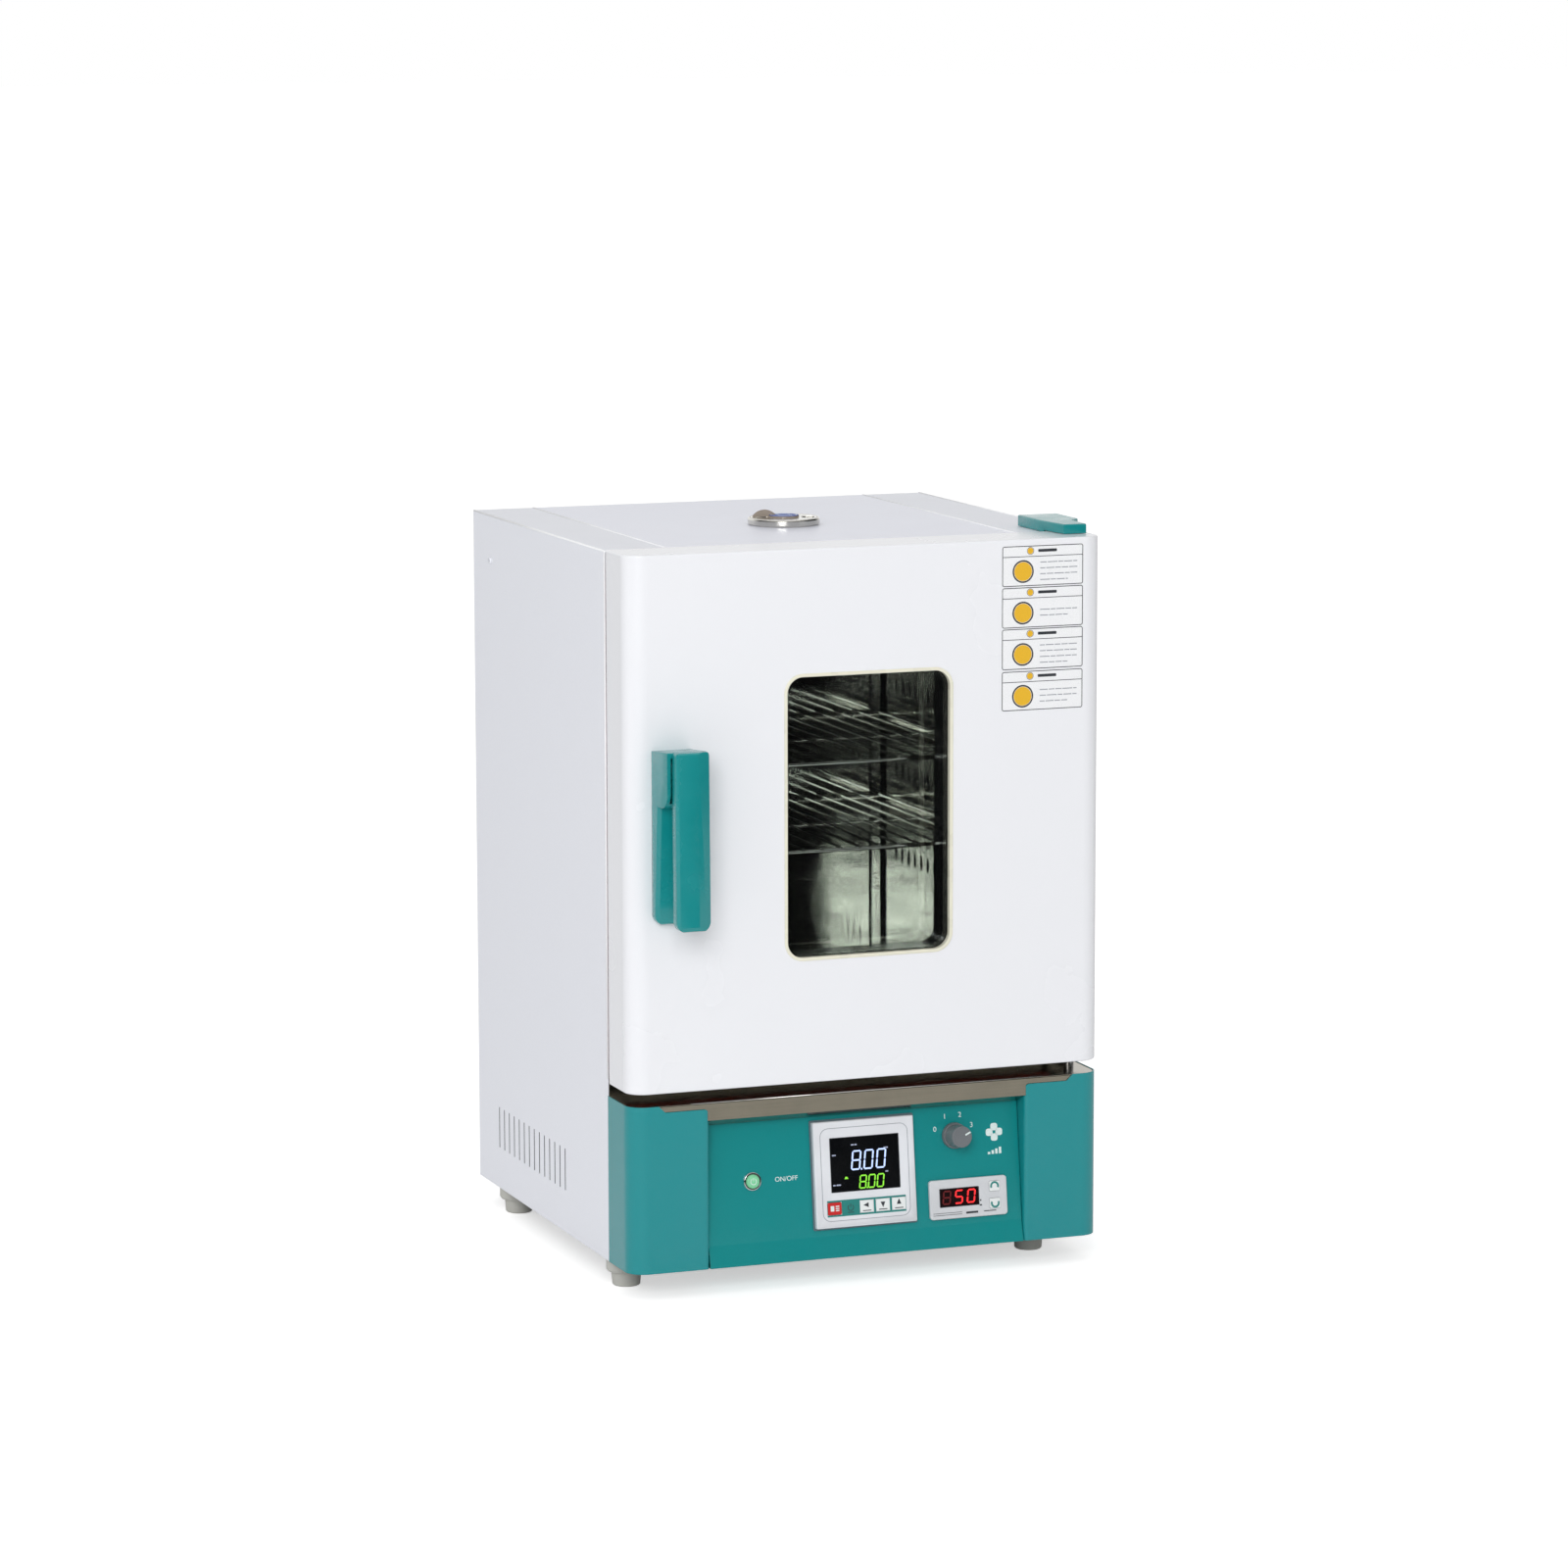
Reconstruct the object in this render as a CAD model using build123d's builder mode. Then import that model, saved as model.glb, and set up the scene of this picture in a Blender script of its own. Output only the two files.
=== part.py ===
from build123d import *
import os
from math import cos, radians, sin

# Bench incubator with one side-hinged front door.
# Millimetres, +Z up, front face towards -Y, origin on the floor under the middle of the whole object.

# Cabinet
CABINET_WIDTH = 450
CABINET_DEPTH = 379
CABINET_HEIGHT = 636
FOOT_HEIGHT = 24
PANEL_SHEET = 1.2
RETURN_WIDTH = 16
ROOF_FLANGE = 58
PANEL_SEAM = 0.6
FIT = 0.3

# Chamber
CHAMBER_FLOOR = 262
CHAMBER_SIDE_WALL = 75
CHAMBER_ROOF_WALL = 54
CHAMBER_REAR_WALL = 79
LINER_SHEET = 1.0
DUCT_DEPTH = 8
PLENUM_DEPTH = 25
BAFFLE_SIDE_GAP = 9
DUCT_END_GAP = 6
INSULATION_FLOOR = 34
BAY_INSET = 8

# Air slots in the side ducts
SLOT_FIRST_ROW = 46
SLOT_ROW_PITCH = 80
SLOT_TOP_ROOM = 74
SLOT_COLUMNS = 7
SLOT_PITCH = 16
SLOT_WIDTH = 6
SLOT_LENGTH = 14
SLOT_CENTRE_FROM_BAFFLE = 95

# Shelves
SHELF_LEVELS = {"shelf_lower": 97, "shelf_upper": 176}
SHELF_FRONT_DEPTH = 12
SHELF_REAR_DEPTH = 12
SHELF_CROSS_WIRE = 4
SHELF_WIRE = 2.8
SHELF_WIRES = 17
SHELF_SIDE_CLEARANCE = 1.5
RAIL_WIDTH = 9
RAIL_SHEET = 1.5
RAIL_LEG = 11

# Front frame and fascia
LEDGE_HEIGHT = 150
FLANGE_DROP = 16
CHIN_RUN = 15
CHIN_DROP = 7.5
PANEL_BAY_HALF_WIDTH = 151
CHEEK_INNER_CORNER = 4
CHEEK_CORNER = 17.5
CHEEK_LIP_DROP = 5.8
CHEEK_LIP_RUN = 5.5
CHEEK_STEP_SHARE = 0.3716
CHEEK_LIP_CORNER = 5
CHEEK_INNER_DEPTH = 34
FOLD_HEIGHT = 19.2
FOLD_SINK = 5
PANEL_TILT = 7
CONTROL_PANEL_RISE = 112
CONTROL_PANEL_GAP = 0.6

# Door
DOOR_GAP = 3.2
DOOR_THICKNESS = 57.4
DOOR_ABOVE_LEDGE = 11.4
DOOR_ABOVE_ROOF = 1.4
DOOR_SHEET = 1.2
DOOR_FRONT_CORNER = 17.5
DOOR_HINGE_CORNER = 14
DOOR_LATCH_CORNER = 2
DOOR_RETURN = 13
INNER_PANEL_LAP = 4
GASKET_WIDTH = 9
GASKET_THICKNESS = 2.9
GASKET_SIDE_INSET = 3.5
GASKET_HANG = 2
GASKET_TOP_INSET = 5
GASKET_HINGE_INSET = 2
GASKET_CORNER = 12

# Door window: clear view, then what grows outwards from it
WINDOW_WIDTH = 153
WINDOW_HEIGHT = 249
WINDOW_CORNER = 14
TRIM_LIP = 3.5
TRIM_LIP_THICKNESS = 0.9
TRIM_WALL = 2.0
TRIM_DEPTH = 5.2
TRIM_VIEW_GAP = 0.5
PANE_THICKNESS = 4
PANE_LAP = 5
REVEAL_DEPTH = 25.8
REVEAL_SHEET = 1.0
FLARE = 11
WINDOW_POCKET = 14

# Hinge
HINGE_FROM_SIDE = 17
HINGE_FROM_CABINET = 26
HINGE_PIN = 7
HINGE_CLEARANCE = 0.05
BUSH_DIAMETER = 12
BUSH_LENGTH = 20
PIN_ENGAGEMENT = 17
BRACKET_PLATE = 3
BRACKET_WIDTH = 16
BRACKET_BACK_WIDTH = 26
BRACKET_BACK_START = 14
BRACKET_LENGTH = 50
HINGE_COLLAR = 11
CAP_HEIGHT = 10
CAP_WALL = 2
CAP_OVERHANG = 5.5
CAP_LENGTH = 58
CAP_STEP = 10
CAP_NOSE_WIDTH = 22
CAP_NOSE_REACH = 9.5
CAP_CORNER = 1.2

# Handle
HANDLE_FROM_SIDE = 21.5
HANDLE_WIDTH = 36
HANDLE_LENGTH = 157
HANDLE_TOP_ABOVE_MIDDLE = 71.6
HANDLE_TOP_FALL = 4.5
HANDLE_HEAD_CORNER = 1.8
HANDLE_FOOT_CORNER = 8
HOUSING_LENGTH = 51
HOUSING_DEPTH = 41
HOUSING_NOSE = 15
HOUSING_WALL = 2.5
BASE_TOP_DEPTH = 18
BASE_BOTTOM_DEPTH = 11
BASE_BEVEL = 3
LEVER_WIDTH = 32
LEVER_GAP = 0.5
LEVER_THICKNESS = 12
LEVER_LEAN = 3
LEVER_FACET_WIDTH = 12
LEVER_FACET_DEPTH = 6
LEVER_RELIEF = 3.0
LEVER_BEVEL = 2.6
LEVER_HEAD_CORNER = 4
LEVER_FOOT_CORNER = 8.5
PIVOT_FROM_FACE = 32
PIVOT_FROM_TOP = 12.5
PIVOT_PIN = 5
LUG_RADIUS = 6
LUG_THICKNESS = 6
TONGUE_THICKNESS = 6
TONGUE_HEIGHT = 8
TONGUE_REACH = 9
LATCH_SWING = 12
LATCH_SLOT_WIDTH = 9
CATCH_WALL = 2
CATCH_DEPTH = 22
CATCH_SIDE_ROOM = 2.6

# Roof vent
VENT_DEPTH = 152
VENT_TUBE_RADIUS = 25
VENT_TUBE_WALL = 1
VENT_BASE_RADIUS = 31.2
VENT_RIM_RADIUS = 32
VENT_RIM_WALL = 1
VENT_RIM_BULGE = 1
VENT_RIM_UNDERCUT = 1.5
VENT_HEIGHT = 7
VENT_SEAT_HEIGHT = 5.6
VENT_SEAT_PLATE = 1
VENT_STUD_RADIUS = 2.5
VENT_TURN = -20
DAMPER_PLATE = 1
DAMPER_CAP_RADIUS = 14
DAMPER_CAP_HEIGHT = 1.5
DAMPER_HOLE_RADIUS = 7
DAMPER_HOLE_OFFSET = 22
FLAP_RADIUS = 13.3
FLAP_OFFSET = 17.5
FLAP_HEIGHT = 7.6

# Feet
FOOT_LEFT_FROM_SIDE = 19
FOOT_RIGHT_FROM_SIDE = 41
FOOT_FRONT_DEPTH = 8
FOOT_BACK_FROM_REAR = 61
FOOT_TOP_RADIUS = 18
FOOT_STEP_RADIUS = 13.5
FOOT_BOTTOM_RADIUS = 12.5
FOOT_TOP_TIER = 11
PAN_FORWARD = 15

# Side louvres
LOUVRE_COUNT = 14
LOUVRE_PITCH = 15
LOUVRE_WIDTH = 2
LOUVRE_LENGTH = 39
LOUVRE_LAST_FROM_REAR = 62.5
LOUVRE_CENTRE_HEIGHT = 58.5

# Temperature controller
CONTROLLER_X = -1.2
CONTROLLER_RISE = 55.1
BEZEL_WIDTH = 96.4
BEZEL_HEIGHT = 95.4
BEZEL_THICKNESS = 6
BEZEL_CORNER = 1.2
CONTROLLER_CASE = 91
CONTROLLER_CASE_DEPTH = 68
DISPLAY_WIDTH = 65.8
DISPLAY_HEIGHT = 48.4
DISPLAY_RISE = 63.4
DISPLAY_RECESS = 0.6
DISPLAY_THICKNESS = 1.5
KEY_PITCH = 15.4
KEY_WIDTH = 13
KEY_HEIGHT = 11
KEY_RISE = 24.7
KEY_CORNER = 1.2
KEY_CLEARANCE = 0.25
KEY_PROUD = 0.6
KEY_DEPTH = 3.4
KEY_TRAVEL = 0.8

# Over-temperature limiter
LIMITER_X = 98.1
LIMITER_RISE = 24
LIMITER_WIDTH = 75.2
LIMITER_HEIGHT = 35.5
LIMITER_THICKNESS = 4
LIMITER_CORNER = 3
LIMITER_CASE_WIDTH = 70.5
LIMITER_CASE_HEIGHT = 28.5
LIMITER_CASE_DEPTH = 52
LIMITER_DISPLAY_X = 89.1
LIMITER_DISPLAY_RISE = 25.4
LIMITER_DISPLAY_WIDTH = 37.8
LIMITER_DISPLAY_HEIGHT = 16.3
LIMITER_KEY_X = 123.5
LIMITER_KEY_RISES = {"limiter_key_up": 32.7, "limiter_key_down": 17.2}
LIMITER_KEY_WIDTH = 10
LIMITER_KEY_HEIGHT = 9
LIMITER_KEY_DEPTH = 2.4
LIMITER_KEY_PROUD = 0.5

# Fan speed knob and its switch
KNOB_X = 87.9
KNOB_RISE = 80.8
KNOB_SKIRT_RADIUS = 11.9
KNOB_FACE_RADIUS = 9.6
KNOB_HEIGHT = 20
KNOB_SKIRT_HEIGHT = 4
KNOB_LIFT = 0.8
KNOB_HOLLOW_RADIUS = 9
KNOB_HOLLOW_DEPTH = 4
KNOB_SHAFT_RADIUS = 3
KNOB_SHAFT_LENGTH = 16
KNOB_REST_ANGLE = 25
POINTER_WIDTH = 1.6
POINTER_LENGTH = 6
POINTER_DEPTH = 0.5
SWITCH_RADIUS = 13
SWITCH_DEPTH = 22
SWITCH_BUSH_RADIUS = 4.5
SWITCH_NUT_RADIUS = 6.5
SWITCH_NUT_HEIGHT = 2.2

# Power push button
BUTTON_X = -107
BUTTON_RISE = 54.8
BUTTON_RING_RADIUS = 8.3
BUTTON_RING_HEIGHT = 2.2
BUTTON_BARREL_RADIUS = 7.5
BUTTON_BARREL_DEPTH = 24
BUTTON_CAP_RADIUS = 6.2
BUTTON_CAP_HEIGHT = 4.2
BUTTON_CAP_DEPTH = 5
BUTTON_CAP_CLEARANCE = 0.2
BUTTON_TRAVEL = 1.8

# Fan, motor and heater
FAN_RADIUS = 52
FAN_WIDTH = 14
FAN_BLADES = 20
FAN_BLADE_LENGTH = 14
FAN_BLADE_SHEET = 1.2
FAN_HUB_RADIUS = 8
FAN_BACK_GAP = 5
SHAFT_RADIUS = 3
SHAFT_IN_MOTOR = 24
MOTOR_RADIUS = 29
MOTOR_LENGTH = 46
MOTOR_STANDOFF = 7
MOTOR_FLANGE = 76
MOTOR_FLANGE_SHEET = 2
MOTOR_POST_RADIUS = 3
MOTOR_POST_SPACING = 62
MOTOR_HOLE_RADIUS = 32.5
INTAKE_RADII = (0, 10, 20, 30, 40)
INTAKE_HOLE_RADIUS = 2.6
HEATER_RING_RADIUS = 68
HEATER_TUBE_RADIUS = 3.25
HEATER_GAP_ANGLE = 22
HEATER_BEND = 8
HEATER_TAIL = 14
PROBE_RADIUS = 2.5
PROBE_LENGTH = 55
PROBE_SPACING = 150
PROBE_DROP = 12

# Rear cover and power inlet
COVER_SIZE = 150
COVER_DEPTH = 15
COVER_CORNER = 6
COVER_SLOTS = 9
COVER_SLOT_PITCH = 12
COVER_SLOT_WIDTH = 4
COVER_SLOT_LENGTH = 100
INLET_FROM_SIDE = 65
INLET_HEIGHT = 72
INLET_FLANGE_WIDTH = 50
INLET_FLANGE_HEIGHT = 26
INLET_FLANGE = 3
INLET_BODY_WIDTH = 28
INLET_BODY_HEIGHT = 20
INLET_BODY_DEPTH = 26
INLET_POCKET_WIDTH = 24
INLET_POCKET_HEIGHT = 16
INLET_POCKET_DEPTH = 16

# Parts on the base pan and small hardware
RELAY_SIZE = (45, 58, 26)
RELAY_FROM_SIDE = 88
RELAY_DEPTH = 150
HEAT_SINK = (52, 66, 18)
TERMINAL_POLES = 8
TERMINAL_PITCH = 13
TERMINAL_DEPTH = 26
TERMINAL_HEIGHT = 20
TERMINAL_FROM_INLET = 100
TERMINAL_FROM_REAR = 164
LOOM_RADIUS = 3
LOOM_STANDOFF = 24.3
SCREW_HEAD_RADIUS = 3.2
SCREW_HEAD_HEIGHT = 1.8
SCREW_SLOT = 0.9
SIDE_SCREW_FROM_REAR = 52
SIDE_SCREW_DROP = 42
BACK_SCREW_ROWS = 4
BACK_SCREW_INSET = 18

# Places that follow from the sizes above
half_width = CABINET_WIDTH / 2
base_z = FOOT_HEIGHT
roof_z = base_z + CABINET_HEIGHT
lever_reach = HOUSING_DEPTH + LEVER_GAP + LEVER_THICKNESS + LEVER_LEAN
front_reach = DOOR_GAP + DOOR_THICKNESS + lever_reach
back_reach = CABINET_DEPTH + COVER_DEPTH
front_y = (front_reach - back_reach) / 2
back_y = front_y + CABINET_DEPTH
inside_half = half_width - PANEL_SHEET

door_back = front_y - DOOR_GAP
door_front = door_back - DOOR_THICKNESS
door_top = roof_z + DOOR_ABOVE_ROOF
ledge_z = base_z + LEDGE_HEIGHT
door_bottom = ledge_z + DOOR_ABOVE_LEDGE
door_height = door_top - door_bottom
window_z = (door_top + door_bottom) / 2

flange_front = door_front + PANEL_SHEET
flange_bottom = ledge_z - FLANGE_DROP
fold_y = door_front + FOLD_SINK
fold_z = base_z + FOLD_HEIGHT

chamber_bottom = base_z + CHAMBER_FLOOR
chamber_top = roof_z - CHAMBER_ROOF_WALL
chamber_height = chamber_top - chamber_bottom
chamber_half = half_width - CHAMBER_SIDE_WALL
chamber_depth = CABINET_DEPTH - CHAMBER_REAR_WALL
duct_half = chamber_half + DUCT_DEPTH
baffle_y = front_y + chamber_depth
slot_rows = int((chamber_height - SLOT_FIRST_ROW - SLOT_TOP_ROOM) // SLOT_ROW_PITCH) + 1
shelf_length = chamber_depth - SHELF_FRONT_DEPTH - SHELF_REAR_DEPTH
liner_back = baffle_y + PLENUM_DEPTH
frame_back = front_y + PANEL_SHEET

hinge_x = half_width - HINGE_FROM_SIDE
hinge_y = front_y - HINGE_FROM_CABINET
vent_y = front_y + VENT_DEPTH
fan_z = (chamber_bottom + chamber_top) / 2
heater_y = baffle_y + PLENUM_DEPTH / 2
gap_sin = sin(radians(HEATER_GAP_ANGLE))
gap_cos = cos(radians(HEATER_GAP_ANGLE))
heater_leg_x = HEATER_RING_RADIUS * gap_sin - HEATER_BEND * gap_cos
heater_leg_z = fan_z - HEATER_RING_RADIUS * gap_cos - HEATER_BEND * gap_sin

handle_x = -half_width + HANDLE_FROM_SIDE + HANDLE_WIDTH / 2
lever_x = handle_x + (HANDLE_WIDTH - LEVER_WIDTH) / 2
handle_top = window_z + HANDLE_TOP_ABOVE_MIDDLE
handle_bottom = handle_top - HANDLE_LENGTH
pivot_y = door_front - PIVOT_FROM_FACE
pivot_z = handle_top - PIVOT_FROM_TOP
tongue_tip = front_y + TONGUE_REACH
tongue_length = tongue_tip - pivot_y
slot_top = pivot_z + TONGUE_HEIGHT / 2 + FIT
slot_bottom = pivot_z - TONGUE_HEIGHT / 2 - tongue_length * sin(radians(LATCH_SWING)) - 1

panel_normal = Vector(0, -cos(radians(PANEL_TILT)), sin(radians(PANEL_TILT)))
control_plane = Plane(origin=(0, fold_y, fold_z), x_dir=(1, 0, 0), z_dir=panel_normal)
cheek_inner = PANEL_BAY_HALF_WIDTH
control_half = cheek_inner - CONTROL_PANEL_GAP
flange_half = half_width - CHEEK_STEP_SHARE * (half_width - cheek_inner)
inlet_x = half_width - INLET_FROM_SIDE


def block(x, y, z, mode=Mode.ADD):
    """A box between two limits on each axis."""
    with Locations(((x[0] + x[1]) / 2, (y[0] + y[1]) / 2, (z[0] + z[1]) / 2)):
        Box(x[1] - x[0], y[1] - y[0], z[1] - z[0], mode=mode)


def rod(start, end, radius, mode=Mode.ADD):
    """A round rod between two points."""
    run = Vector(*end) - Vector(*start)
    with BuildSketch(Plane(origin=start, z_dir=run)) as section:
        Circle(radius)
    extrude(section.sketch, amount=run.length, mode=mode)


def sheet_outline(bends, thickness):
    """Closed outline of a bent sheet: the line through its bends and a parallel line on its left."""
    runs = [Vector(*b) - Vector(*a) for a, b in zip(bends, bends[1:])]
    normals = [Vector(-run.Y, run.X).normalized() for run in runs]
    shifted = []
    for index, bend in enumerate(bends):
        before = normals[max(index - 1, 0)]
        after = normals[min(index, len(normals) - 1)]
        mitre = (before + after) * (thickness / (1 + before.dot(after)))
        shifted.append((bend[0] + mitre.X, bend[1] + mitre.Y))
    return [tuple(bend) for bend in bends] + shifted[::-1]


def rounded_prism_y(centre, size, corner, y, mode=Mode.ADD):
    """A prism along Y between two depths, with a rounded rectangle for its section in X and Z."""
    with BuildSketch(Plane.XZ.offset(-y[0])) as section:
        with Locations(centre):
            RectangleRounded(size[0], size[1], corner)
    extrude(section.sketch, amount=y[0] - y[1], mode=mode)


def window_prism(grow, y, mode=Mode.ADD):
    """A prism on the window's axis, larger than the clear view by grow on every side."""
    size = (WINDOW_WIDTH + 2 * grow, WINDOW_HEIGHT + 2 * grow)
    rounded_prism_y((0, window_z), size, WINDOW_CORNER + grow, y, mode)


def door_plan(inset):
    """Plan outline of the door, moved inwards by inset."""
    left = -half_width + inset
    right = half_width - inset
    front = door_front + inset
    back = door_back - inset
    corners = (DOOR_FRONT_CORNER, DOOR_FRONT_CORNER, DOOR_HINGE_CORNER, DOOR_LATCH_CORNER)
    radii = [max(corner - inset, 0.4) for corner in corners]
    with BuildLine() as outline:
        FilletPolyline((left, front), (right, front), (right, back), (left, back), radius=radii, close=True)
    make_face(outline.edges())


def screw_head(place, outward):
    """A domed screw head with a cross recess, standing on a surface."""
    seat = Plane(origin=place, z_dir=outward)
    with BuildSketch(seat) as head:
        Circle(SCREW_HEAD_RADIUS)
    extrude(head.sketch, amount=SCREW_HEAD_HEIGHT, taper=18)
    with BuildSketch(seat.offset(SCREW_HEAD_HEIGHT)) as recess:
        Rectangle(2.4 * SCREW_HEAD_HEIGHT, SCREW_SLOT)
        Rectangle(SCREW_SLOT, 2.4 * SCREW_HEAD_HEIGHT)
    extrude(recess.sketch, amount=-SCREW_HEAD_HEIGHT / 2, mode=Mode.SUBTRACT)


# Side panels: tall sheets folded over the roof and under the base
with BuildPart() as side_panel_left:
    with BuildSketch(Plane.XZ.offset(-front_y)):
        left = -half_width
        tall = [(left + RETURN_WIDTH, base_z + PANEL_SHEET), (left, base_z + PANEL_SHEET)]
        tall += [(left, roof_z), (left + ROOF_FLANGE, roof_z)]
        Polygon(*sheet_outline(tall, -PANEL_SHEET))
    extrude(amount=-CABINET_DEPTH)
    roof_edge = side_panel_left.edges().filter_by(Axis.Y).group_by(Axis.Z)[-1].sort_by(Axis.X)[0]
    fillet(roof_edge, radius=PANEL_SHEET)
    return_x = (-inside_half, -half_width + RETURN_WIDTH)
    return_z = (base_z + 2 * PANEL_SHEET, roof_z - PANEL_SHEET)
    block(return_x, (frame_back, frame_back + PANEL_SHEET), return_z)
    block(return_x, (back_y - 2 * PANEL_SHEET, back_y - PANEL_SHEET), return_z)
    block((-half_width, -inside_half), (front_y, back_y), (base_z, base_z + 2 * PANEL_SHEET))
    with BuildSketch(Plane.YZ.offset(-half_width - 1)):
        for slot in range(LOUVRE_COUNT):
            louvre_y = back_y - LOUVRE_LAST_FROM_REAR - slot * LOUVRE_PITCH
            with Locations((louvre_y, base_z + LOUVRE_CENTRE_HEIGHT)):
                SlotOverall(LOUVRE_LENGTH, LOUVRE_WIDTH, rotation=90)
    extrude(amount=PANEL_SHEET + 2, mode=Mode.SUBTRACT)

with BuildPart() as side_panel_right:
    add(side_panel_left.part.mirror(Plane.YZ))

# Roof panel between the two folded flanges, with turned-down edges
seam_half = half_width - ROOF_FLANGE - PANEL_SEAM
with BuildPart() as roof_panel:
    block((-seam_half, seam_half), (front_y, back_y), (roof_z - PANEL_SHEET, roof_z))
    for side in (-1, 1):
        edge = sorted((side * (seam_half - PANEL_SHEET), side * seam_half))
        block(edge, (frame_back + FIT, back_y - PANEL_SHEET - FIT), (roof_z - 8, roof_z - PANEL_SHEET))
    rod((0, vent_y, roof_z - 2), (0, vent_y, roof_z + 1), VENT_TUBE_RADIUS + FIT, Mode.SUBTRACT)

# Back panel over the returns of the side panels
inlet_z = base_z + INLET_HEIGHT
panel_bottom = base_z + 2 * PANEL_SHEET + FIT
panel_top = roof_z - PANEL_SHEET - FIT
with BuildPart() as back_panel:
    block((-inside_half + FIT, inside_half - FIT), (back_y - PANEL_SHEET, back_y), (panel_bottom, panel_top))
    rod((0, back_y - 2, fan_z), (0, back_y + 1, fan_z), MOTOR_HOLE_RADIUS, Mode.SUBTRACT)
    inlet_hole = (INLET_BODY_WIDTH + FIT, INLET_BODY_HEIGHT + FIT)
    rounded_prism_y((inlet_x, inlet_z), inlet_hole, 2, (back_y - 2, back_y + 1), Mode.SUBTRACT)

# Base pan, reaching forward under the fascia cheeks
pan_front = front_y - PAN_FORWARD
with BuildPart() as base_pan:
    block((-inside_half + FIT, inside_half - FIT), (pan_front, back_y), (base_z, base_z + PANEL_SHEET))
    block((-control_half, control_half), (front_y, front_y + PANEL_SHEET), (base_z, base_z + RETURN_WIDTH))
    with BuildSketch(Plane.XY.offset(base_z - 1)):
        with Locations((0, front_y + CABINET_DEPTH / 2)):
            with GridLocations(LOUVRE_PITCH, 1, LOUVRE_COUNT, 1):
                SlotOverall(2 * LOUVRE_LENGTH, 2 * LOUVRE_WIDTH, rotation=90)
    extrude(amount=PANEL_SHEET + 2, mode=Mode.SUBTRACT)

# Feet: two-step tapered mouldings, one under each corner of the pan
with BuildPart() as feet:
    for foot_x in (FOOT_LEFT_FROM_SIDE - half_width, half_width - FOOT_RIGHT_FROM_SIDE):
        for foot_y in (front_y + FOOT_FRONT_DEPTH, back_y - FOOT_BACK_FROM_REAR):
            with BuildSketch(Plane.XZ.offset(-foot_y)):
                with Locations((foot_x, 0)):
                    Polygon(
                        (0, 0),
                        (FOOT_BOTTOM_RADIUS - 1, 0),
                        (FOOT_BOTTOM_RADIUS, 1),
                        (FOOT_STEP_RADIUS, FOOT_HEIGHT - FOOT_TOP_TIER - 1),
                        (FOOT_TOP_RADIUS - 1.5, FOOT_HEIGHT - FOOT_TOP_TIER),
                        (FOOT_TOP_RADIUS, FOOT_HEIGHT - FOOT_TOP_TIER + 2),
                        (FOOT_TOP_RADIUS, FOOT_HEIGHT),
                        (0, FOOT_HEIGHT),
                    )
            revolve(axis=Axis((foot_x, foot_y, 0), (0, 0, 1)))

# Stainless front frame: upright plate round the chamber mouth, ledge, front flange and chin
chin_end = (flange_front + CHIN_RUN, flange_bottom - CHIN_DROP)
catch_z = (slot_top + slot_bottom) / 2
catch_height = slot_top - slot_bottom + 2 * FIT
catch_width = TONGUE_THICKNESS + 2 * CATCH_SIDE_ROOM
tongue_x = handle_x
with BuildPart() as front_frame:
    block((-inside_half + FIT, inside_half - FIT), (front_y, frame_back), (ledge_z - LINER_SHEET, panel_top))
    with BuildSketch(Plane.XY.offset(ledge_z - LINER_SHEET)):
        ledge_half = inside_half - FIT
        ledge_corner = CHEEK_CORNER - PANEL_SHEET - FIT
        with BuildLine():
            FilletPolyline(
                (-ledge_half, frame_back),
                (-ledge_half, flange_front),
                (ledge_half, flange_front),
                (ledge_half, frame_back),
                radius=ledge_corner,
            )
            Line((ledge_half, frame_back), (-ledge_half, frame_back))
        make_face()
    extrude(amount=LINER_SHEET)
    with BuildSketch(Plane.YZ.offset(-flange_half)):
        apron = [(flange_front, ledge_z), (flange_front, flange_bottom)]
        Polygon(*sheet_outline(apron, LINER_SHEET))
    extrude(amount=2 * flange_half)
    with BuildSketch(Plane.YZ.offset(-control_half)):
        chin = [(flange_front, flange_bottom + 1), (flange_front, flange_bottom), chin_end]
        Polygon(*sheet_outline(chin, LINER_SHEET))
    extrude(amount=2 * control_half)
    bends = front_frame.edges().filter_by(Axis.X).filter_by_position(Axis.Y, flange_front - 0.1, flange_front + 0.1)
    fillet(bends.group_by(Axis.Z)[-1], radius=0.9 * LINER_SHEET)
    block((-chamber_half, chamber_half), (front_y - 1, frame_back + 1), (chamber_bottom, chamber_top), Mode.SUBTRACT)
    catch_x = (tongue_x - catch_width / 2, tongue_x + catch_width / 2)
    block(catch_x, (front_y - 1, frame_back + 1), (catch_z - catch_height / 2, catch_z + catch_height / 2), Mode.SUBTRACT)
    rod((hinge_x, hinge_y, ledge_z - 2), (hinge_x, hinge_y, ledge_z + 1), HINGE_PIN / 2 + FIT, Mode.SUBTRACT)

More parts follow.
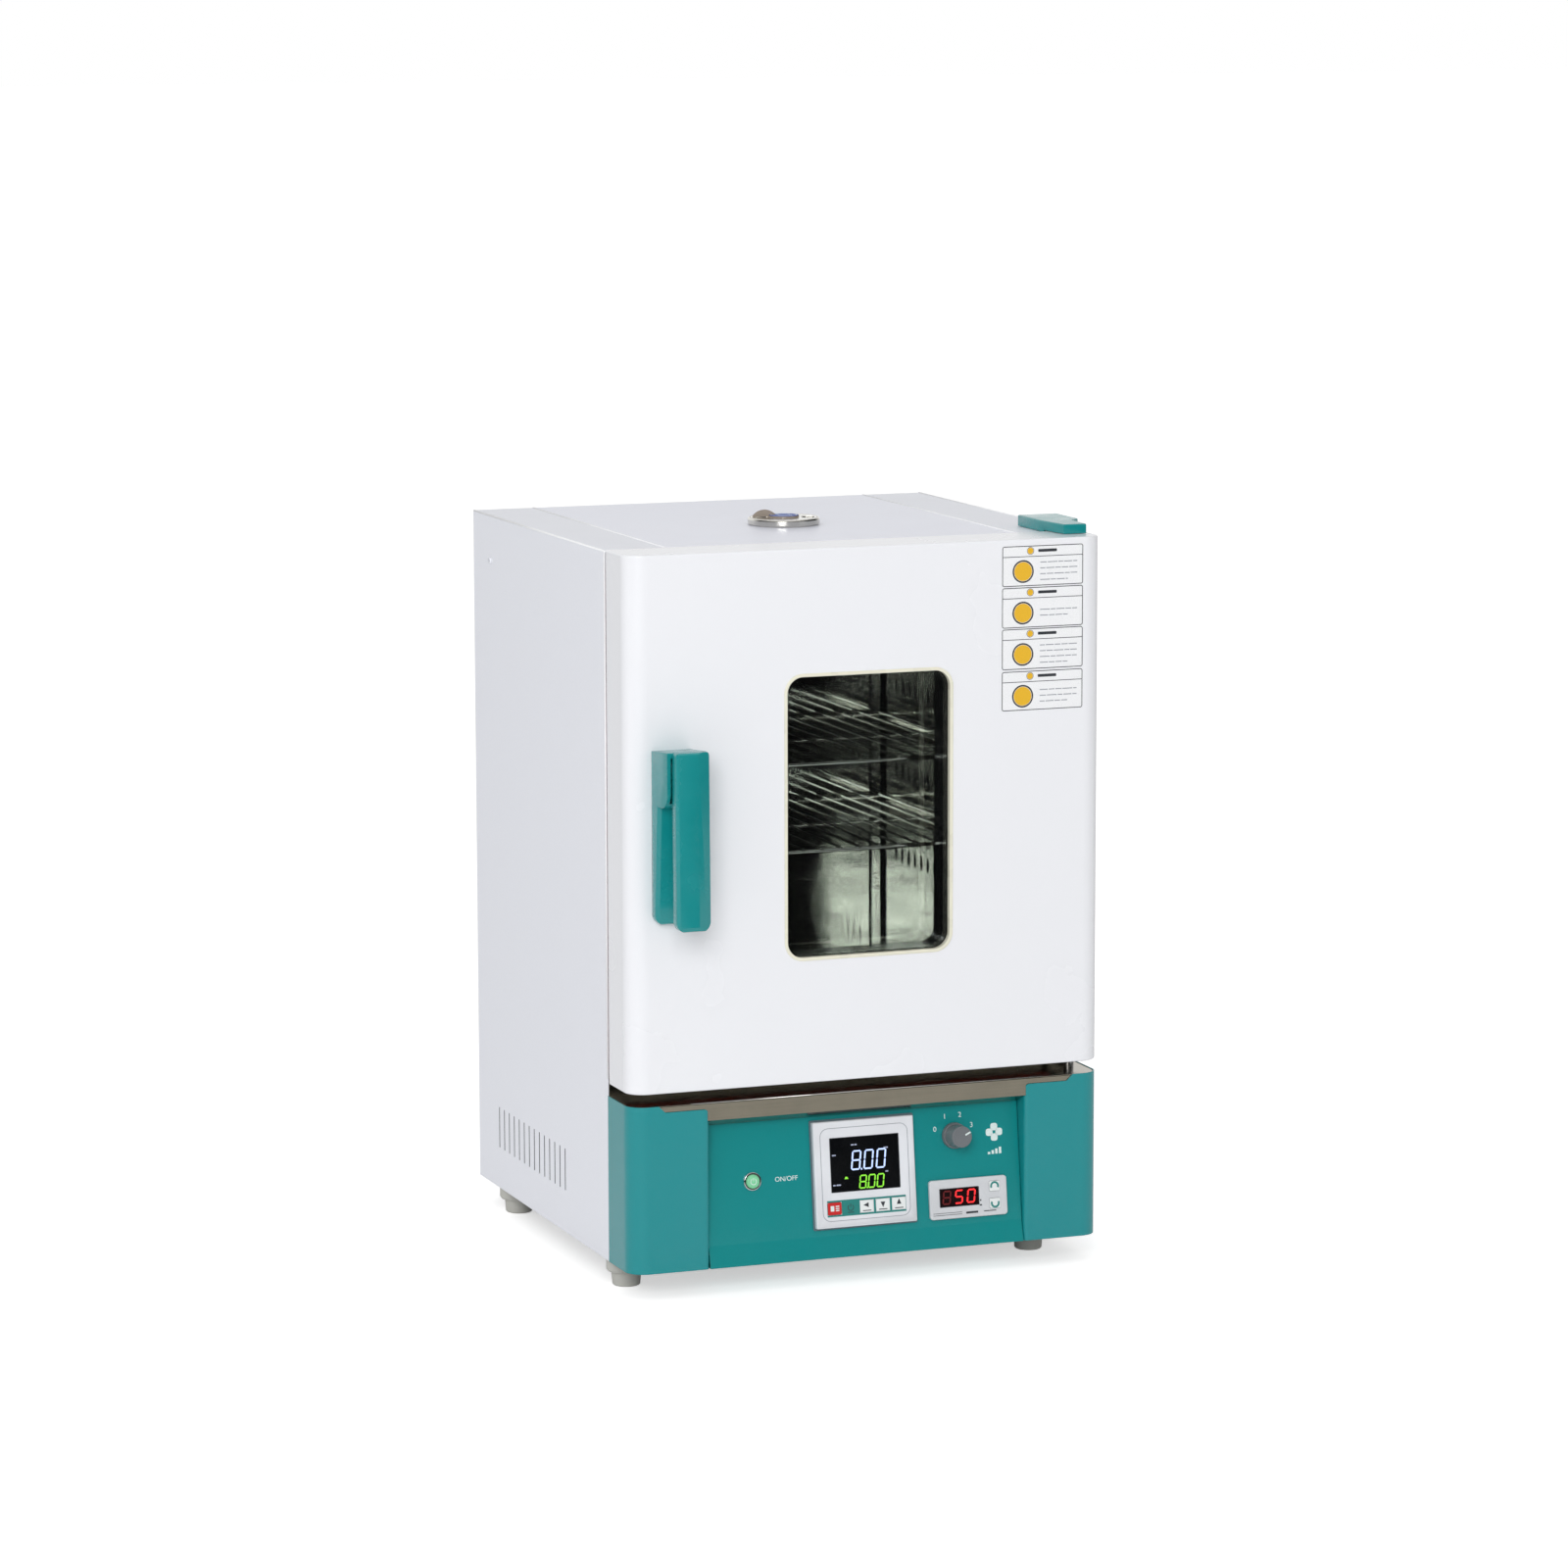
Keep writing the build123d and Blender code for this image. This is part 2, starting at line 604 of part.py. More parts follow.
# Fascia cheeks: painted corner covers, each a channel with a stepped top edge
cheek_top = ledge_z + FIT
with BuildPart() as cheek_left:
    with BuildSketch(Plane.XY.offset(base_z)):
        with BuildLine():
            outer = FilletPolyline(
                (-half_width, front_y - FIT),
                (-half_width, door_front),
                (-cheek_inner, door_front),
                (-cheek_inner, door_front + CHEEK_INNER_DEPTH),
                radius=[CHEEK_CORNER, CHEEK_INNER_CORNER],
            )
            inner = FilletPolyline(
                (-cheek_inner - PANEL_SHEET, door_front + CHEEK_INNER_DEPTH),
                (-cheek_inner - PANEL_SHEET, door_front + PANEL_SHEET),
                (-inside_half, door_front + PANEL_SHEET),
                (-inside_half, front_y - FIT),
                radius=[CHEEK_INNER_CORNER - PANEL_SHEET, CHEEK_CORNER - PANEL_SHEET],
            )
            Line(outer @ 1, inner @ 0)
            Line(inner @ 1, outer @ 0)
        make_face()
    extrude(amount=cheek_top - base_z)
    step_x = -flange_half
    lip_z = cheek_top - CHEEK_LIP_DROP
    with BuildSketch(Plane.XZ.offset(-door_front + 1)):
        with BuildLine():
            FilletPolyline(
                (step_x, cheek_top + 1),
                (step_x, cheek_top - 0.6),
                (step_x + CHEEK_LIP_RUN, lip_z),
                (-cheek_inner, lip_z),
                (-cheek_inner, flange_bottom - FIT),
                (-cheek_inner + 2, flange_bottom - FIT),
                (-cheek_inner + 2, cheek_top + 1),
                radius=[0.4, 2, CHEEK_LIP_CORNER, 0.3, 0.3],
            )
            Line((-cheek_inner + 2, cheek_top + 1), (step_x, cheek_top + 1))
        make_face()
    extrude(amount=-PANEL_SHEET - 1, mode=Mode.SUBTRACT)
    inner_wall_x = (-cheek_inner - CHEEK_INNER_CORNER, -cheek_inner + 1)
    inner_wall_y = (flange_front, door_front + CHEEK_INNER_DEPTH + 1)
    block(inner_wall_x, inner_wall_y, (flange_bottom - FIT, cheek_top + 1), Mode.SUBTRACT)

with BuildPart() as cheek_right:
    add(cheek_left.part.mirror(Plane.YZ))

# Sunk centre panel: tilted face, fold, lower band flush with the cheeks and a bottom return
panel_rise = CONTROL_PANEL_RISE
panel_head = (fold_y + panel_rise * sin(radians(PANEL_TILT)), fold_z + panel_rise * cos(radians(PANEL_TILT)))
with BuildPart() as control_panel:
    with BuildSketch(Plane.YZ.offset(-control_half)):
        profile = [
            (panel_head[0] + RETURN_WIDTH, panel_head[1]),
            panel_head,
            (fold_y, fold_z),
            (door_front, base_z),
            (pan_front - FIT, base_z),
        ]
        Polygon(*sheet_outline(profile, PANEL_SHEET))
    extrude(amount=2 * control_half)
    with BuildSketch(control_plane.offset(1)):
        with Locations((CONTROLLER_X, CONTROLLER_RISE)):
            Rectangle(CONTROLLER_CASE + FIT, CONTROLLER_CASE + FIT)
        with Locations((LIMITER_X, LIMITER_RISE)):
            Rectangle(LIMITER_CASE_WIDTH + FIT, LIMITER_CASE_HEIGHT + FIT)
        with Locations((KNOB_X, KNOB_RISE)):
            Circle(SWITCH_BUSH_RADIUS + FIT / 2)
        with Locations((BUTTON_X, BUTTON_RISE)):
            Circle(BUTTON_BARREL_RADIUS + FIT / 2)
    extrude(amount=-PANEL_SHEET - 2, mode=Mode.SUBTRACT)

# Chamber liner: stainless box open at the front
liner_floor = chamber_bottom - LINER_SHEET
motor_post = MOTOR_POST_SPACING / 2
probe_z = chamber_top - PROBE_DROP
with BuildPart() as chamber_liner:
    shell_half = duct_half + LINER_SHEET
    block((-shell_half, shell_half), (frame_back, liner_back + LINER_SHEET), (liner_floor, chamber_top + LINER_SHEET))
    block((-duct_half, duct_half), (frame_back - 1, liner_back), (chamber_bottom, chamber_top), Mode.SUBTRACT)
    rod((0, vent_y, chamber_top - 1), (0, vent_y, chamber_top + 2), VENT_TUBE_RADIUS + FIT / 2, Mode.SUBTRACT)
    rod((0, liner_back - 1, fan_z), (0, liner_back + 2, fan_z), SHAFT_RADIUS + 1, Mode.SUBTRACT)
    for side in (-1, 1):
        leg_x = side * heater_leg_x
        leg_hole = ((leg_x, liner_back - 1, heater_leg_z), (leg_x, liner_back + 2, heater_leg_z))
        rod(leg_hole[0], leg_hole[1], HEATER_TUBE_RADIUS, Mode.SUBTRACT)
        probe_x = side * PROBE_SPACING / 2
        rod((probe_x, liner_back - 1, probe_z), (probe_x, liner_back + 2, probe_z), PROBE_RADIUS, Mode.SUBTRACT)

# Side air ducts: sheet channels with rows of upright oval slots
with BuildPart() as side_ducts:
    for side in (-1, 1):
        face_x = sorted((side * chamber_half, side * (chamber_half + LINER_SHEET)))
        return_x = sorted((side * (chamber_half + LINER_SHEET), side * duct_half))
        duct_y = (frame_back, baffle_y - DUCT_END_GAP)
        block(face_x, duct_y, (chamber_bottom, chamber_top))
        block(return_x, (frame_back, frame_back + LINER_SHEET), (chamber_bottom, chamber_top))
    with BuildSketch(Plane.YZ.offset(-chamber_half - 2)):
        for row in range(slot_rows):
            row_z = chamber_bottom + SLOT_FIRST_ROW + row * SLOT_ROW_PITCH
            with Locations((baffle_y - SLOT_CENTRE_FROM_BAFFLE, row_z)):
                with GridLocations(SLOT_PITCH, 1, SLOT_COLUMNS, 1):
                    SlotOverall(SLOT_LENGTH, SLOT_WIDTH, rotation=90)
    extrude(amount=2 * chamber_half + 4, mode=Mode.SUBTRACT)

# Rear baffle with the fan's intake holes, carried off the liner by two returns
baffle_half = chamber_half - BAFFLE_SIDE_GAP
with BuildPart() as rear_baffle:
    block((-baffle_half, baffle_half), (baffle_y, baffle_y + LINER_SHEET), (chamber_bottom, chamber_top))
    for side in (-1, 1):
        web = sorted((side * (baffle_half - LINER_SHEET), side * baffle_half))
        block(web, (baffle_y, liner_back), (chamber_bottom, chamber_bottom + chamber_height / 4))
        block(web, (baffle_y, liner_back), (chamber_top - chamber_height / 4, chamber_top))
    with BuildSketch(Plane.XZ.offset(-baffle_y + 1)):
        with Locations((0, fan_z)):
            for ring, ring_radius in enumerate(INTAKE_RADII):
                if ring_radius == 0:
                    Circle(INTAKE_HOLE_RADIUS)
                else:
                    with PolarLocations(ring_radius, 6 * ring):
                        Circle(INTAKE_HOLE_RADIUS)
        for side in (-1, 1):
            with Locations((side * PROBE_SPACING / 2, probe_z)):
                Circle(PROBE_RADIUS + FIT)
    extrude(amount=-LINER_SHEET - 2, mode=Mode.SUBTRACT)

# Insulation boards round the chamber, one solid for each side
board_front = frame_back + PANEL_SHEET + FIT
board_back = back_y - 2 * PANEL_SHEET - FIT
board_bottom = chamber_bottom - INSULATION_FLOOR
board_top = roof_z - PANEL_SHEET - FIT
inner_half = shell_half + FIT
with BuildPart() as cabinet_insulation:
    for side in (-1, 1):
        board_x = sorted((side * inner_half, side * (inside_half - FIT)))
        block(board_x, (board_front, board_back), (board_bottom, board_top))
    lid_bottom = chamber_top + LINER_SHEET + FIT
    core_half = inner_half - FIT
    block((-core_half, core_half), (board_front, board_back), (lid_bottom, board_top))
    block((-core_half, core_half), (board_front, board_back), (board_bottom, liner_floor - FIT))
    rear_y = (liner_back + LINER_SHEET + FIT, board_back)
    block((-core_half, core_half), rear_y, (liner_floor, chamber_top + LINER_SHEET))
    rod((0, vent_y, lid_bottom - 1), (0, vent_y, board_top + 1), VENT_TUBE_RADIUS + 1, Mode.SUBTRACT)
    motor_pocket = MOTOR_FLANGE + 4
    rounded_prism_y((0, fan_z), (motor_pocket, motor_pocket), 6, (rear_y[0] - 1, rear_y[1] + 1), Mode.SUBTRACT)
    for side in (-1, 1):
        leg_x = side * heater_leg_x
        leg_hole = ((leg_x, rear_y[0] - 1, heater_leg_z), (leg_x, rear_y[1] + 1, heater_leg_z))
        rod(leg_hole[0], leg_hole[1], HEATER_TUBE_RADIUS + 1, Mode.SUBTRACT)
        probe_x = side * PROBE_SPACING / 2
        rod((probe_x, rear_y[0] - 1, probe_z), (probe_x, rear_y[1] + 1, probe_z), PROBE_RADIUS + 1, Mode.SUBTRACT)
    pocket_half = catch_width / 2 + CATCH_WALL + 1
    pocket_z = (catch_z - catch_height / 2 - CATCH_WALL - 1, catch_z + catch_height / 2 + CATCH_WALL + 1)
    pocket_y = (board_front - 1, frame_back + CATCH_DEPTH + CATCH_WALL + 1)
    block((tongue_x - pocket_half, tongue_x + pocket_half), pocket_y, pocket_z, Mode.SUBTRACT)
    seam_pocket = (roof_z - 8 - 1, board_top + 1)
    for side in (-1, 1):
        groove = sorted((side * (seam_half - PANEL_SHEET - 1), side * (seam_half + 1)))
        block(groove, (board_front - 1, board_back + 1), seam_pocket, Mode.SUBTRACT)

# Shelf rails: angles on the duct faces
rail_y = (front_y + SHELF_FRONT_DEPTH - 6, front_y + SHELF_FRONT_DEPTH + shelf_length - 4)
with BuildPart() as shelf_rails:
    for level in SHELF_LEVELS.values():
        rail_top = chamber_bottom + level - SHELF_CROSS_WIRE - FIT
        for side in (-1, 1):
            tread = sorted((side * (chamber_half - RAIL_WIDTH), side * chamber_half))
            leg = sorted((side * (chamber_half - RAIL_SHEET), side * chamber_half))
            block(tread, rail_y, (rail_top - RAIL_SHEET, rail_top))
            block(leg, rail_y, (rail_top - RAIL_LEG, rail_top - RAIL_SHEET))

# Wire shelves: two cross wires and a middle brace under a row of lengthwise wires
shelves = {}
shelf_half = chamber_half - SHELF_SIDE_CLEARANCE - SHELF_WIRE / 2
for shelf_name, level in SHELF_LEVELS.items():
    cross_z = chamber_bottom + level - SHELF_CROSS_WIRE / 2
    wire_z = cross_z + SHELF_CROSS_WIRE / 2
    shelf_front = front_y + SHELF_FRONT_DEPTH
    with BuildPart() as shelf:
        for cross in (0, shelf_length / 2, shelf_length):
            cross_y = shelf_front + cross
            rod((-shelf_half, cross_y, cross_z), (shelf_half, cross_y, cross_z), SHELF_CROSS_WIRE / 2)
        for wire in range(SHELF_WIRES):
            wire_x = -shelf_half + 2 * shelf_half * wire / (SHELF_WIRES - 1)
            start = (wire_x, shelf_front - SHELF_CROSS_WIRE / 2, wire_z)
            rod(start, (wire_x, shelf_front + shelf_length + SHELF_CROSS_WIRE / 2, wire_z), SHELF_WIRE / 2)
    shelves[shelf_name] = shelf

# Heater: a tube bent to an open ring round the fan wheel, its two ends turned back through the rear wall
with BuildPart() as heater_element:
    ring_end = (HEATER_RING_RADIUS * gap_sin, heater_y, fan_z - HEATER_RING_RADIUS * gap_cos)
    with BuildSketch(Plane(origin=ring_end, x_dir=(0, 1, 0), z_dir=(gap_cos, 0, gap_sin))):
        Circle(HEATER_TUBE_RADIUS)
    revolve(axis=Axis((0, heater_y, fan_z), (0, -1, 0)), revolution_arc=360 - 2 * HEATER_GAP_ANGLE)
    for side in (-1, 1):
        tube_end = (side * ring_end[0], heater_y, ring_end[2])
        onward = Vector(-side * gap_cos, 0, -gap_sin)
        with BuildSketch(Plane(origin=tube_end, x_dir=(0, 1, 0), z_dir=onward)):
            Circle(HEATER_TUBE_RADIUS)
        bend_centre = (tube_end[0], heater_y + HEATER_BEND, tube_end[2])
        revolve(axis=Axis(bend_centre, onward.cross(Vector(0, 1, 0))), revolution_arc=90)
        leg_x = side * heater_leg_x
        tail = liner_back + LINER_SHEET + HEATER_TAIL
        rod((leg_x, heater_y + HEATER_BEND, heater_leg_z), (leg_x, tail, heater_leg_z), HEATER_TUBE_RADIUS)

# Temperature probes of the controller and the limiter
with BuildPart() as temperature_probes:
    for side in (-1, 1):
        probe_x = side * PROBE_SPACING / 2
        probe_tail = liner_back + LINER_SHEET + HEATER_TAIL
        rod((probe_x, probe_tail - PROBE_LENGTH, probe_z), (probe_x, probe_tail, probe_z), PROBE_RADIUS)
        rod((probe_x, liner_back - 3, probe_z), (probe_x, liner_back, probe_z), 2 * PROBE_RADIUS)

# Fan motor on posts behind the liner
motor_face = liner_back + LINER_SHEET + MOTOR_STANDOFF
with BuildPart() as fan_motor:
    flange_y = (motor_face - MOTOR_FLANGE_SHEET, motor_face)
    rounded_prism_y((0, fan_z), (MOTOR_FLANGE, MOTOR_FLANGE), 5, flange_y)
    rod((0, motor_face, fan_z), (0, motor_face + MOTOR_LENGTH, fan_z), MOTOR_RADIUS)
    rod((0, motor_face - 4, fan_z), (0, motor_face, fan_z), 9)
    for side_x in (-1, 1):
        for side_z in (-1, 1):
            post = (side_x * motor_post, liner_back + LINER_SHEET, fan_z + side_z * motor_post)
            rod(post, (post[0], motor_face, post[2]), MOTOR_POST_RADIUS)
    bore_y = (motor_face - 5, motor_face + SHAFT_IN_MOTOR + 1)
    rod((0, bore_y[0], fan_z), (0, bore_y[1], fan_z), SHAFT_RADIUS + HINGE_CLEARANCE, Mode.SUBTRACT)
    rib_count = 10
    with BuildSketch(Plane.XZ.offset(-motor_face - MOTOR_LENGTH)):
        with Locations((0, fan_z)):
            with PolarLocations(MOTOR_RADIUS - 6, rib_count):
                Rectangle(8, 3)
    extrude(amount=3, mode=Mode.SUBTRACT)

# Fan shaft and wheel
wheel_back = liner_back - FAN_BACK_GAP
with BuildPart() as fan_shaft:
    rod((0, wheel_back - FAN_WIDTH, fan_z), (0, motor_face + SHAFT_IN_MOTOR, fan_z), SHAFT_RADIUS)

with BuildPart() as fan_wheel:
    rod((0, wheel_back - FAN_BLADE_SHEET, fan_z), (0, wheel_back, fan_z), FAN_RADIUS)
    rod((0, wheel_back - FAN_WIDTH, fan_z), (0, wheel_back, fan_z), FAN_HUB_RADIUS)
    ring_y = (wheel_back - FAN_WIDTH, wheel_back - FAN_WIDTH + FAN_BLADE_SHEET)
    with BuildSketch(Plane.XZ.offset(-ring_y[0])):
        with Locations((0, fan_z)):
            Circle(FAN_RADIUS)
            Circle(FAN_RADIUS - FAN_BLADE_LENGTH, mode=Mode.SUBTRACT)
    extrude(amount=ring_y[0] - ring_y[1])
    with BuildSketch(Plane.XZ.offset(-ring_y[0])):
        with Locations((0, fan_z)):
            with PolarLocations(FAN_RADIUS - FAN_BLADE_LENGTH / 2 - 0.4, FAN_BLADES):
                Rectangle(FAN_BLADE_LENGTH, FAN_BLADE_SHEET, rotation=35)
    extrude(amount=-FAN_WIDTH)
    rod((0, wheel_back - FAN_WIDTH - 1, fan_z), (0, wheel_back + 1, fan_z), SHAFT_RADIUS, Mode.SUBTRACT)

# Rear motor cover with air slots
cover_back = back_y + COVER_DEPTH
with BuildPart() as rear_cover:
    rounded_prism_y((0, fan_z), (COVER_SIZE, COVER_SIZE), COVER_CORNER, (back_y, cover_back))
    inner_cover = COVER_SIZE - 2 * PANEL_SHEET
    cavity_y = (back_y - 1, cover_back - PANEL_SHEET)
    rounded_prism_y((0, fan_z), (inner_cover, inner_cover), COVER_CORNER - PANEL_SHEET, cavity_y, Mode.SUBTRACT)
    with BuildSketch(Plane.XZ.offset(-cover_back - 1)):
        with Locations((0, fan_z)):
            with GridLocations(1, COVER_SLOT_PITCH, 1, COVER_SLOTS):
                SlotOverall(COVER_SLOT_LENGTH, COVER_SLOT_WIDTH)
    extrude(amount=PANEL_SHEET + 2, mode=Mode.SUBTRACT)

# Power inlet with three blades in its pocket
with BuildPart() as power_inlet:
    flange_size = (INLET_FLANGE_WIDTH, INLET_FLANGE_HEIGHT)
    rounded_prism_y((inlet_x, inlet_z), flange_size, 4, (back_y, back_y + INLET_FLANGE))
    body_size = (INLET_BODY_WIDTH, INLET_BODY_HEIGHT)
    rounded_prism_y((inlet_x, inlet_z), body_size, 2, (back_y - INLET_BODY_DEPTH, back_y))
    pocket_size = (INLET_POCKET_WIDTH, INLET_POCKET_HEIGHT)
    pocket_floor = back_y + INLET_FLANGE - INLET_POCKET_DEPTH
    rounded_prism_y((inlet_x, inlet_z), pocket_size, 3, (pocket_floor, back_y + INLET_FLANGE + 1), Mode.SUBTRACT)
    for blade_x, blade_z in ((-7, -2), (0, 2), (7, -2)):
        blade_xs = (inlet_x + blade_x - 1, inlet_x + blade_x + 1)
        blade_zs = (inlet_z + blade_z - 2, inlet_z + blade_z + 2)
        block(blade_xs, (pocket_floor, back_y - 1), blade_zs)

# Solid-state relay on its heat sink
pan_top = base_z + PANEL_SHEET
relay_mid = RELAY_FROM_SIDE - half_width
relay_y = front_y + RELAY_DEPTH
with BuildPart() as solid_state_relay:
    sink_x = (relay_mid - HEAT_SINK[0] / 2, relay_mid + HEAT_SINK[0] / 2)
    sink_y = (relay_y - HEAT_SINK[1] / 2, relay_y + HEAT_SINK[1] / 2)
    block(sink_x, sink_y, (pan_top, pan_top + HEAT_SINK[2]))
    with BuildSketch(Plane.XZ.offset(-sink_y[0] + 1)):
        with Locations((relay_mid, pan_top + 5)):
            with GridLocations(7, 1, 7, 1):
                Rectangle(3.5, 10.1)
    extrude(amount=-HEAT_SINK[1] - 2, mode=Mode.SUBTRACT)
    relay_x = (relay_mid - RELAY_SIZE[0] / 2, relay_mid + RELAY_SIZE[0] / 2)
    relay_ys = (relay_y - RELAY_SIZE[1] / 2, relay_y + RELAY_SIZE[1] / 2)
    relay_top = pan_top + HEAT_SINK[2] + RELAY_SIZE[2]
    block(relay_x, relay_ys, (pan_top + HEAT_SINK[2], relay_top))
    for end in (-1, 1):
        notch_y = sorted((relay_y + end * (RELAY_SIZE[1] / 2 - 10), relay_y + end * (RELAY_SIZE[1] / 2 + 1)))
        block((relay_x[0] + 4, relay_x[1] - 4), notch_y, (relay_top - 8, relay_top + 1), Mode.SUBTRACT)

# Terminal block: a base with raised barriers between its poles
terminal_x = inlet_x - TERMINAL_FROM_INLET
terminal_y = back_y - TERMINAL_FROM_REAR
terminal_length = TERMINAL_POLES * TERMINAL_PITCH
with BuildPart() as terminal_block:
    strip_x = (terminal_x - terminal_length / 2, terminal_x + terminal_length / 2)
    strip_y = (terminal_y - TERMINAL_DEPTH / 2, terminal_y + TERMINAL_DEPTH / 2)
    block(strip_x, strip_y, (pan_top, pan_top + TERMINAL_HEIGHT))
    for pole in range(TERMINAL_POLES):
        pole_x = strip_x[0] + (pole + 0.5) * TERMINAL_PITCH
        pole_xs = (pole_x - TERMINAL_PITCH / 2 + 1.5, pole_x + TERMINAL_PITCH / 2 - 1.5)
        pole_top = pan_top + TERMINAL_HEIGHT
        block(pole_xs, (strip_y[0] - 1, strip_y[0] + 9), (pole_top - 8, pole_top + 1), Mode.SUBTRACT)
        block(pole_xs, (strip_y[1] - 9, strip_y[1] + 1), (pole_top - 8, pole_top + 1), Mode.SUBTRACT)
        for row_y in (strip_y[0] + 4.5, strip_y[1] - 4.5):
            rod((pole_x, row_y, pole_top - 8), (pole_x, row_y, pole_top - 5), 3)

# Catch box behind the front frame, where the latch tongue rests
with BuildPart() as catch_box:
    box_x = (catch_x[0] - CATCH_WALL, catch_x[1] + CATCH_WALL)
    box_z = (catch_z - catch_height / 2 - CATCH_WALL, catch_z + catch_height / 2 + CATCH_WALL)
    block(box_x, (frame_back, frame_back + CATCH_DEPTH + CATCH_WALL), box_z)
    catch_zs = (catch_z - catch_height / 2, catch_z + catch_height / 2)
    block(catch_x, (frame_back - 1, frame_back + CATCH_DEPTH), catch_zs, Mode.SUBTRACT)

# Hinge brackets: the upper one on the roof, the lower one under the ledge, each with its pin
plate_z = door_top + 0.8
upper_pin_end = door_top - PIN_ENGAGEMENT
bracket_end = front_y + BRACKET_LENGTH
with BuildPart() as hinge_brackets:
    nose_x = (hinge_x - BRACKET_WIDTH / 2, hinge_x + BRACKET_WIDTH / 2)
    nose_y = (hinge_y - BRACKET_WIDTH / 2 + 2, front_y + BRACKET_BACK_START)
    block(nose_x, nose_y, (plate_z, plate_z + BRACKET_PLATE))
    back_x = (hinge_x - BRACKET_BACK_WIDTH / 2 + 2, hinge_x + BRACKET_BACK_WIDTH / 2 + 2)
    block(back_x, (front_y + BRACKET_BACK_START, bracket_end), (roof_z, plate_z + BRACKET_PLATE))
    rod((hinge_x, hinge_y, upper_pin_end), (hinge_x, hinge_y, plate_z), HINGE_PIN / 2)
    shelf_z = ledge_z - LINER_SHEET
    leg_face = frame_back
    block(nose_x, (hinge_y - BRACKET_WIDTH / 2, leg_face), (shelf_z - BRACKET_PLATE, shelf_z))
    leg_y = (leg_face - BRACKET_PLATE, leg_face)
    block((nose_x[0] + 4, nose_x[1] + 4), leg_y, (shelf_z - 3 * RETURN_WIDTH, shelf_z))
    rod((hinge_x, hinge_y, shelf_z), (hinge_x, hinge_y, door_bottom + PIN_ENGAGEMENT), HINGE_PIN / 2)
    collar_z = (ledge_z + FIT, door_bottom - FIT)
    rod((hinge_x, hinge_y, door_bottom - 2), (hinge_x, hinge_y, collar_z[1]), HINGE_COLLAR / 2)

# Hinge cap over the upper bracket
cap_top = roof_z + CAP_HEIGHT + 0.4
cap_nose_front = hinge_y - CAP_NOSE_REACH


def cap_outline(inset):
    """Plan of the hinge cap: a wide back over the roof corner and a narrow nose over the door."""
    left = hinge_x - BRACKET_WIDTH + inset
    right = half_width + CAP_OVERHANG - inset
    nose_left = hinge_x - CAP_NOSE_WIDTH / 2 + inset
    nose_right = hinge_x + CAP_NOSE_WIDTH / 2 - inset
    step = front_y + CAP_STEP
    Polygon(
        (left, front_y + CAP_LENGTH - inset),
        (left, step),
        (nose_left, cap_nose_front + inset),
        (nose_right, cap_nose_front + inset),
        (nose_right + 1, step - CAP_NOSE_WIDTH / 2 + inset),
        (right, step + inset),
        (right, front_y + CAP_LENGTH - inset),
    )


with BuildPart() as hinge_cap:
    with BuildSketch(Plane.XY.offset(roof_z + FIT)):
        cap_outline(0)
    extrude(amount=cap_top - roof_z - FIT)
    fillet(hinge_cap.faces().sort_by(Axis.Z)[-1].edges(), radius=CAP_CORNER)
    with BuildSketch(Plane.XY.offset(roof_z)):
        cap_outline(CAP_WALL)
    extrude(amount=cap_top - CAP_WALL - roof_z, mode=Mode.SUBTRACT)
    over_door = (door_back - 10 - DOOR_THICKNESS, front_y + 2)
    block((half_width - 60, half_width + 20), over_door, (roof_z - 1, door_top + FIT), Mode.SUBTRACT)

# Roof vent: tube through the insulation, spun flange and a seat with two air holes
damper_z = roof_z + VENT_SEAT_HEIGHT + FIT
tube_inner = VENT_TUBE_RADIUS - VENT_TUBE_WALL
rim_inner = VENT_RIM_RADIUS - VENT_RIM_WALL
vent_axis = Axis((0, vent_y, 0), (0, 0, 1))
vent_turned = Plane(origin=(0, vent_y, 0), x_dir=(cos(radians(VENT_TURN)), sin(radians(VENT_TURN)), 0), z_dir=(0, 0, 1))


with BuildPart() as vent_flange:
    with BuildSketch(Plane.XZ.offset(-vent_y)):
        Polygon(
            (tube_inner, chamber_top),
            (VENT_TUBE_RADIUS, chamber_top),
            (VENT_TUBE_RADIUS, roof_z),
            (VENT_BASE_RADIUS, roof_z),
            (VENT_RIM_RADIUS + VENT_RIM_BULGE, roof_z + VENT_RIM_UNDERCUT),
            (VENT_RIM_RADIUS + VENT_RIM_BULGE, roof_z + VENT_HEIGHT - 1.8),
            (VENT_RIM_RADIUS + VENT_RIM_BULGE / 2, roof_z + VENT_HEIGHT - 0.6),
            (VENT_RIM_RADIUS - VENT_RIM_WALL / 2, roof_z + VENT_HEIGHT),
            (rim_inner, roof_z + VENT_HEIGHT - 0.2),
            (rim_inner, roof_z + VENT_SEAT_HEIGHT),
            (tube_inner, roof_z + VENT_SEAT_HEIGHT),
        )
    revolve(axis=vent_axis)
    seat_z = roof_z + VENT_SEAT_HEIGHT - VENT_SEAT_PLATE
    rod((0, vent_y, seat_z), (0, vent_y, seat_z + VENT_SEAT_PLATE), tube_inner + 0.5)
    with BuildSketch(vent_turned.offset(seat_z - 1)):
        for side in (-1, 1):
            with Locations((side * (tube_inner / 2 + 1), 0)):
                Rectangle(tube_inner / 2 + 3, 2 * DAMPER_HOLE_RADIUS + 6)
        Circle(tube_inner - 1, mode=Mode.INTERSECT)
    extrude(amount=VENT_SEAT_PLATE + 2, mode=Mode.SUBTRACT)
    rod((0, vent_y, seat_z), (0, vent_y, damper_z + DAMPER_PLATE + 0.4), VENT_STUD_RADIUS)

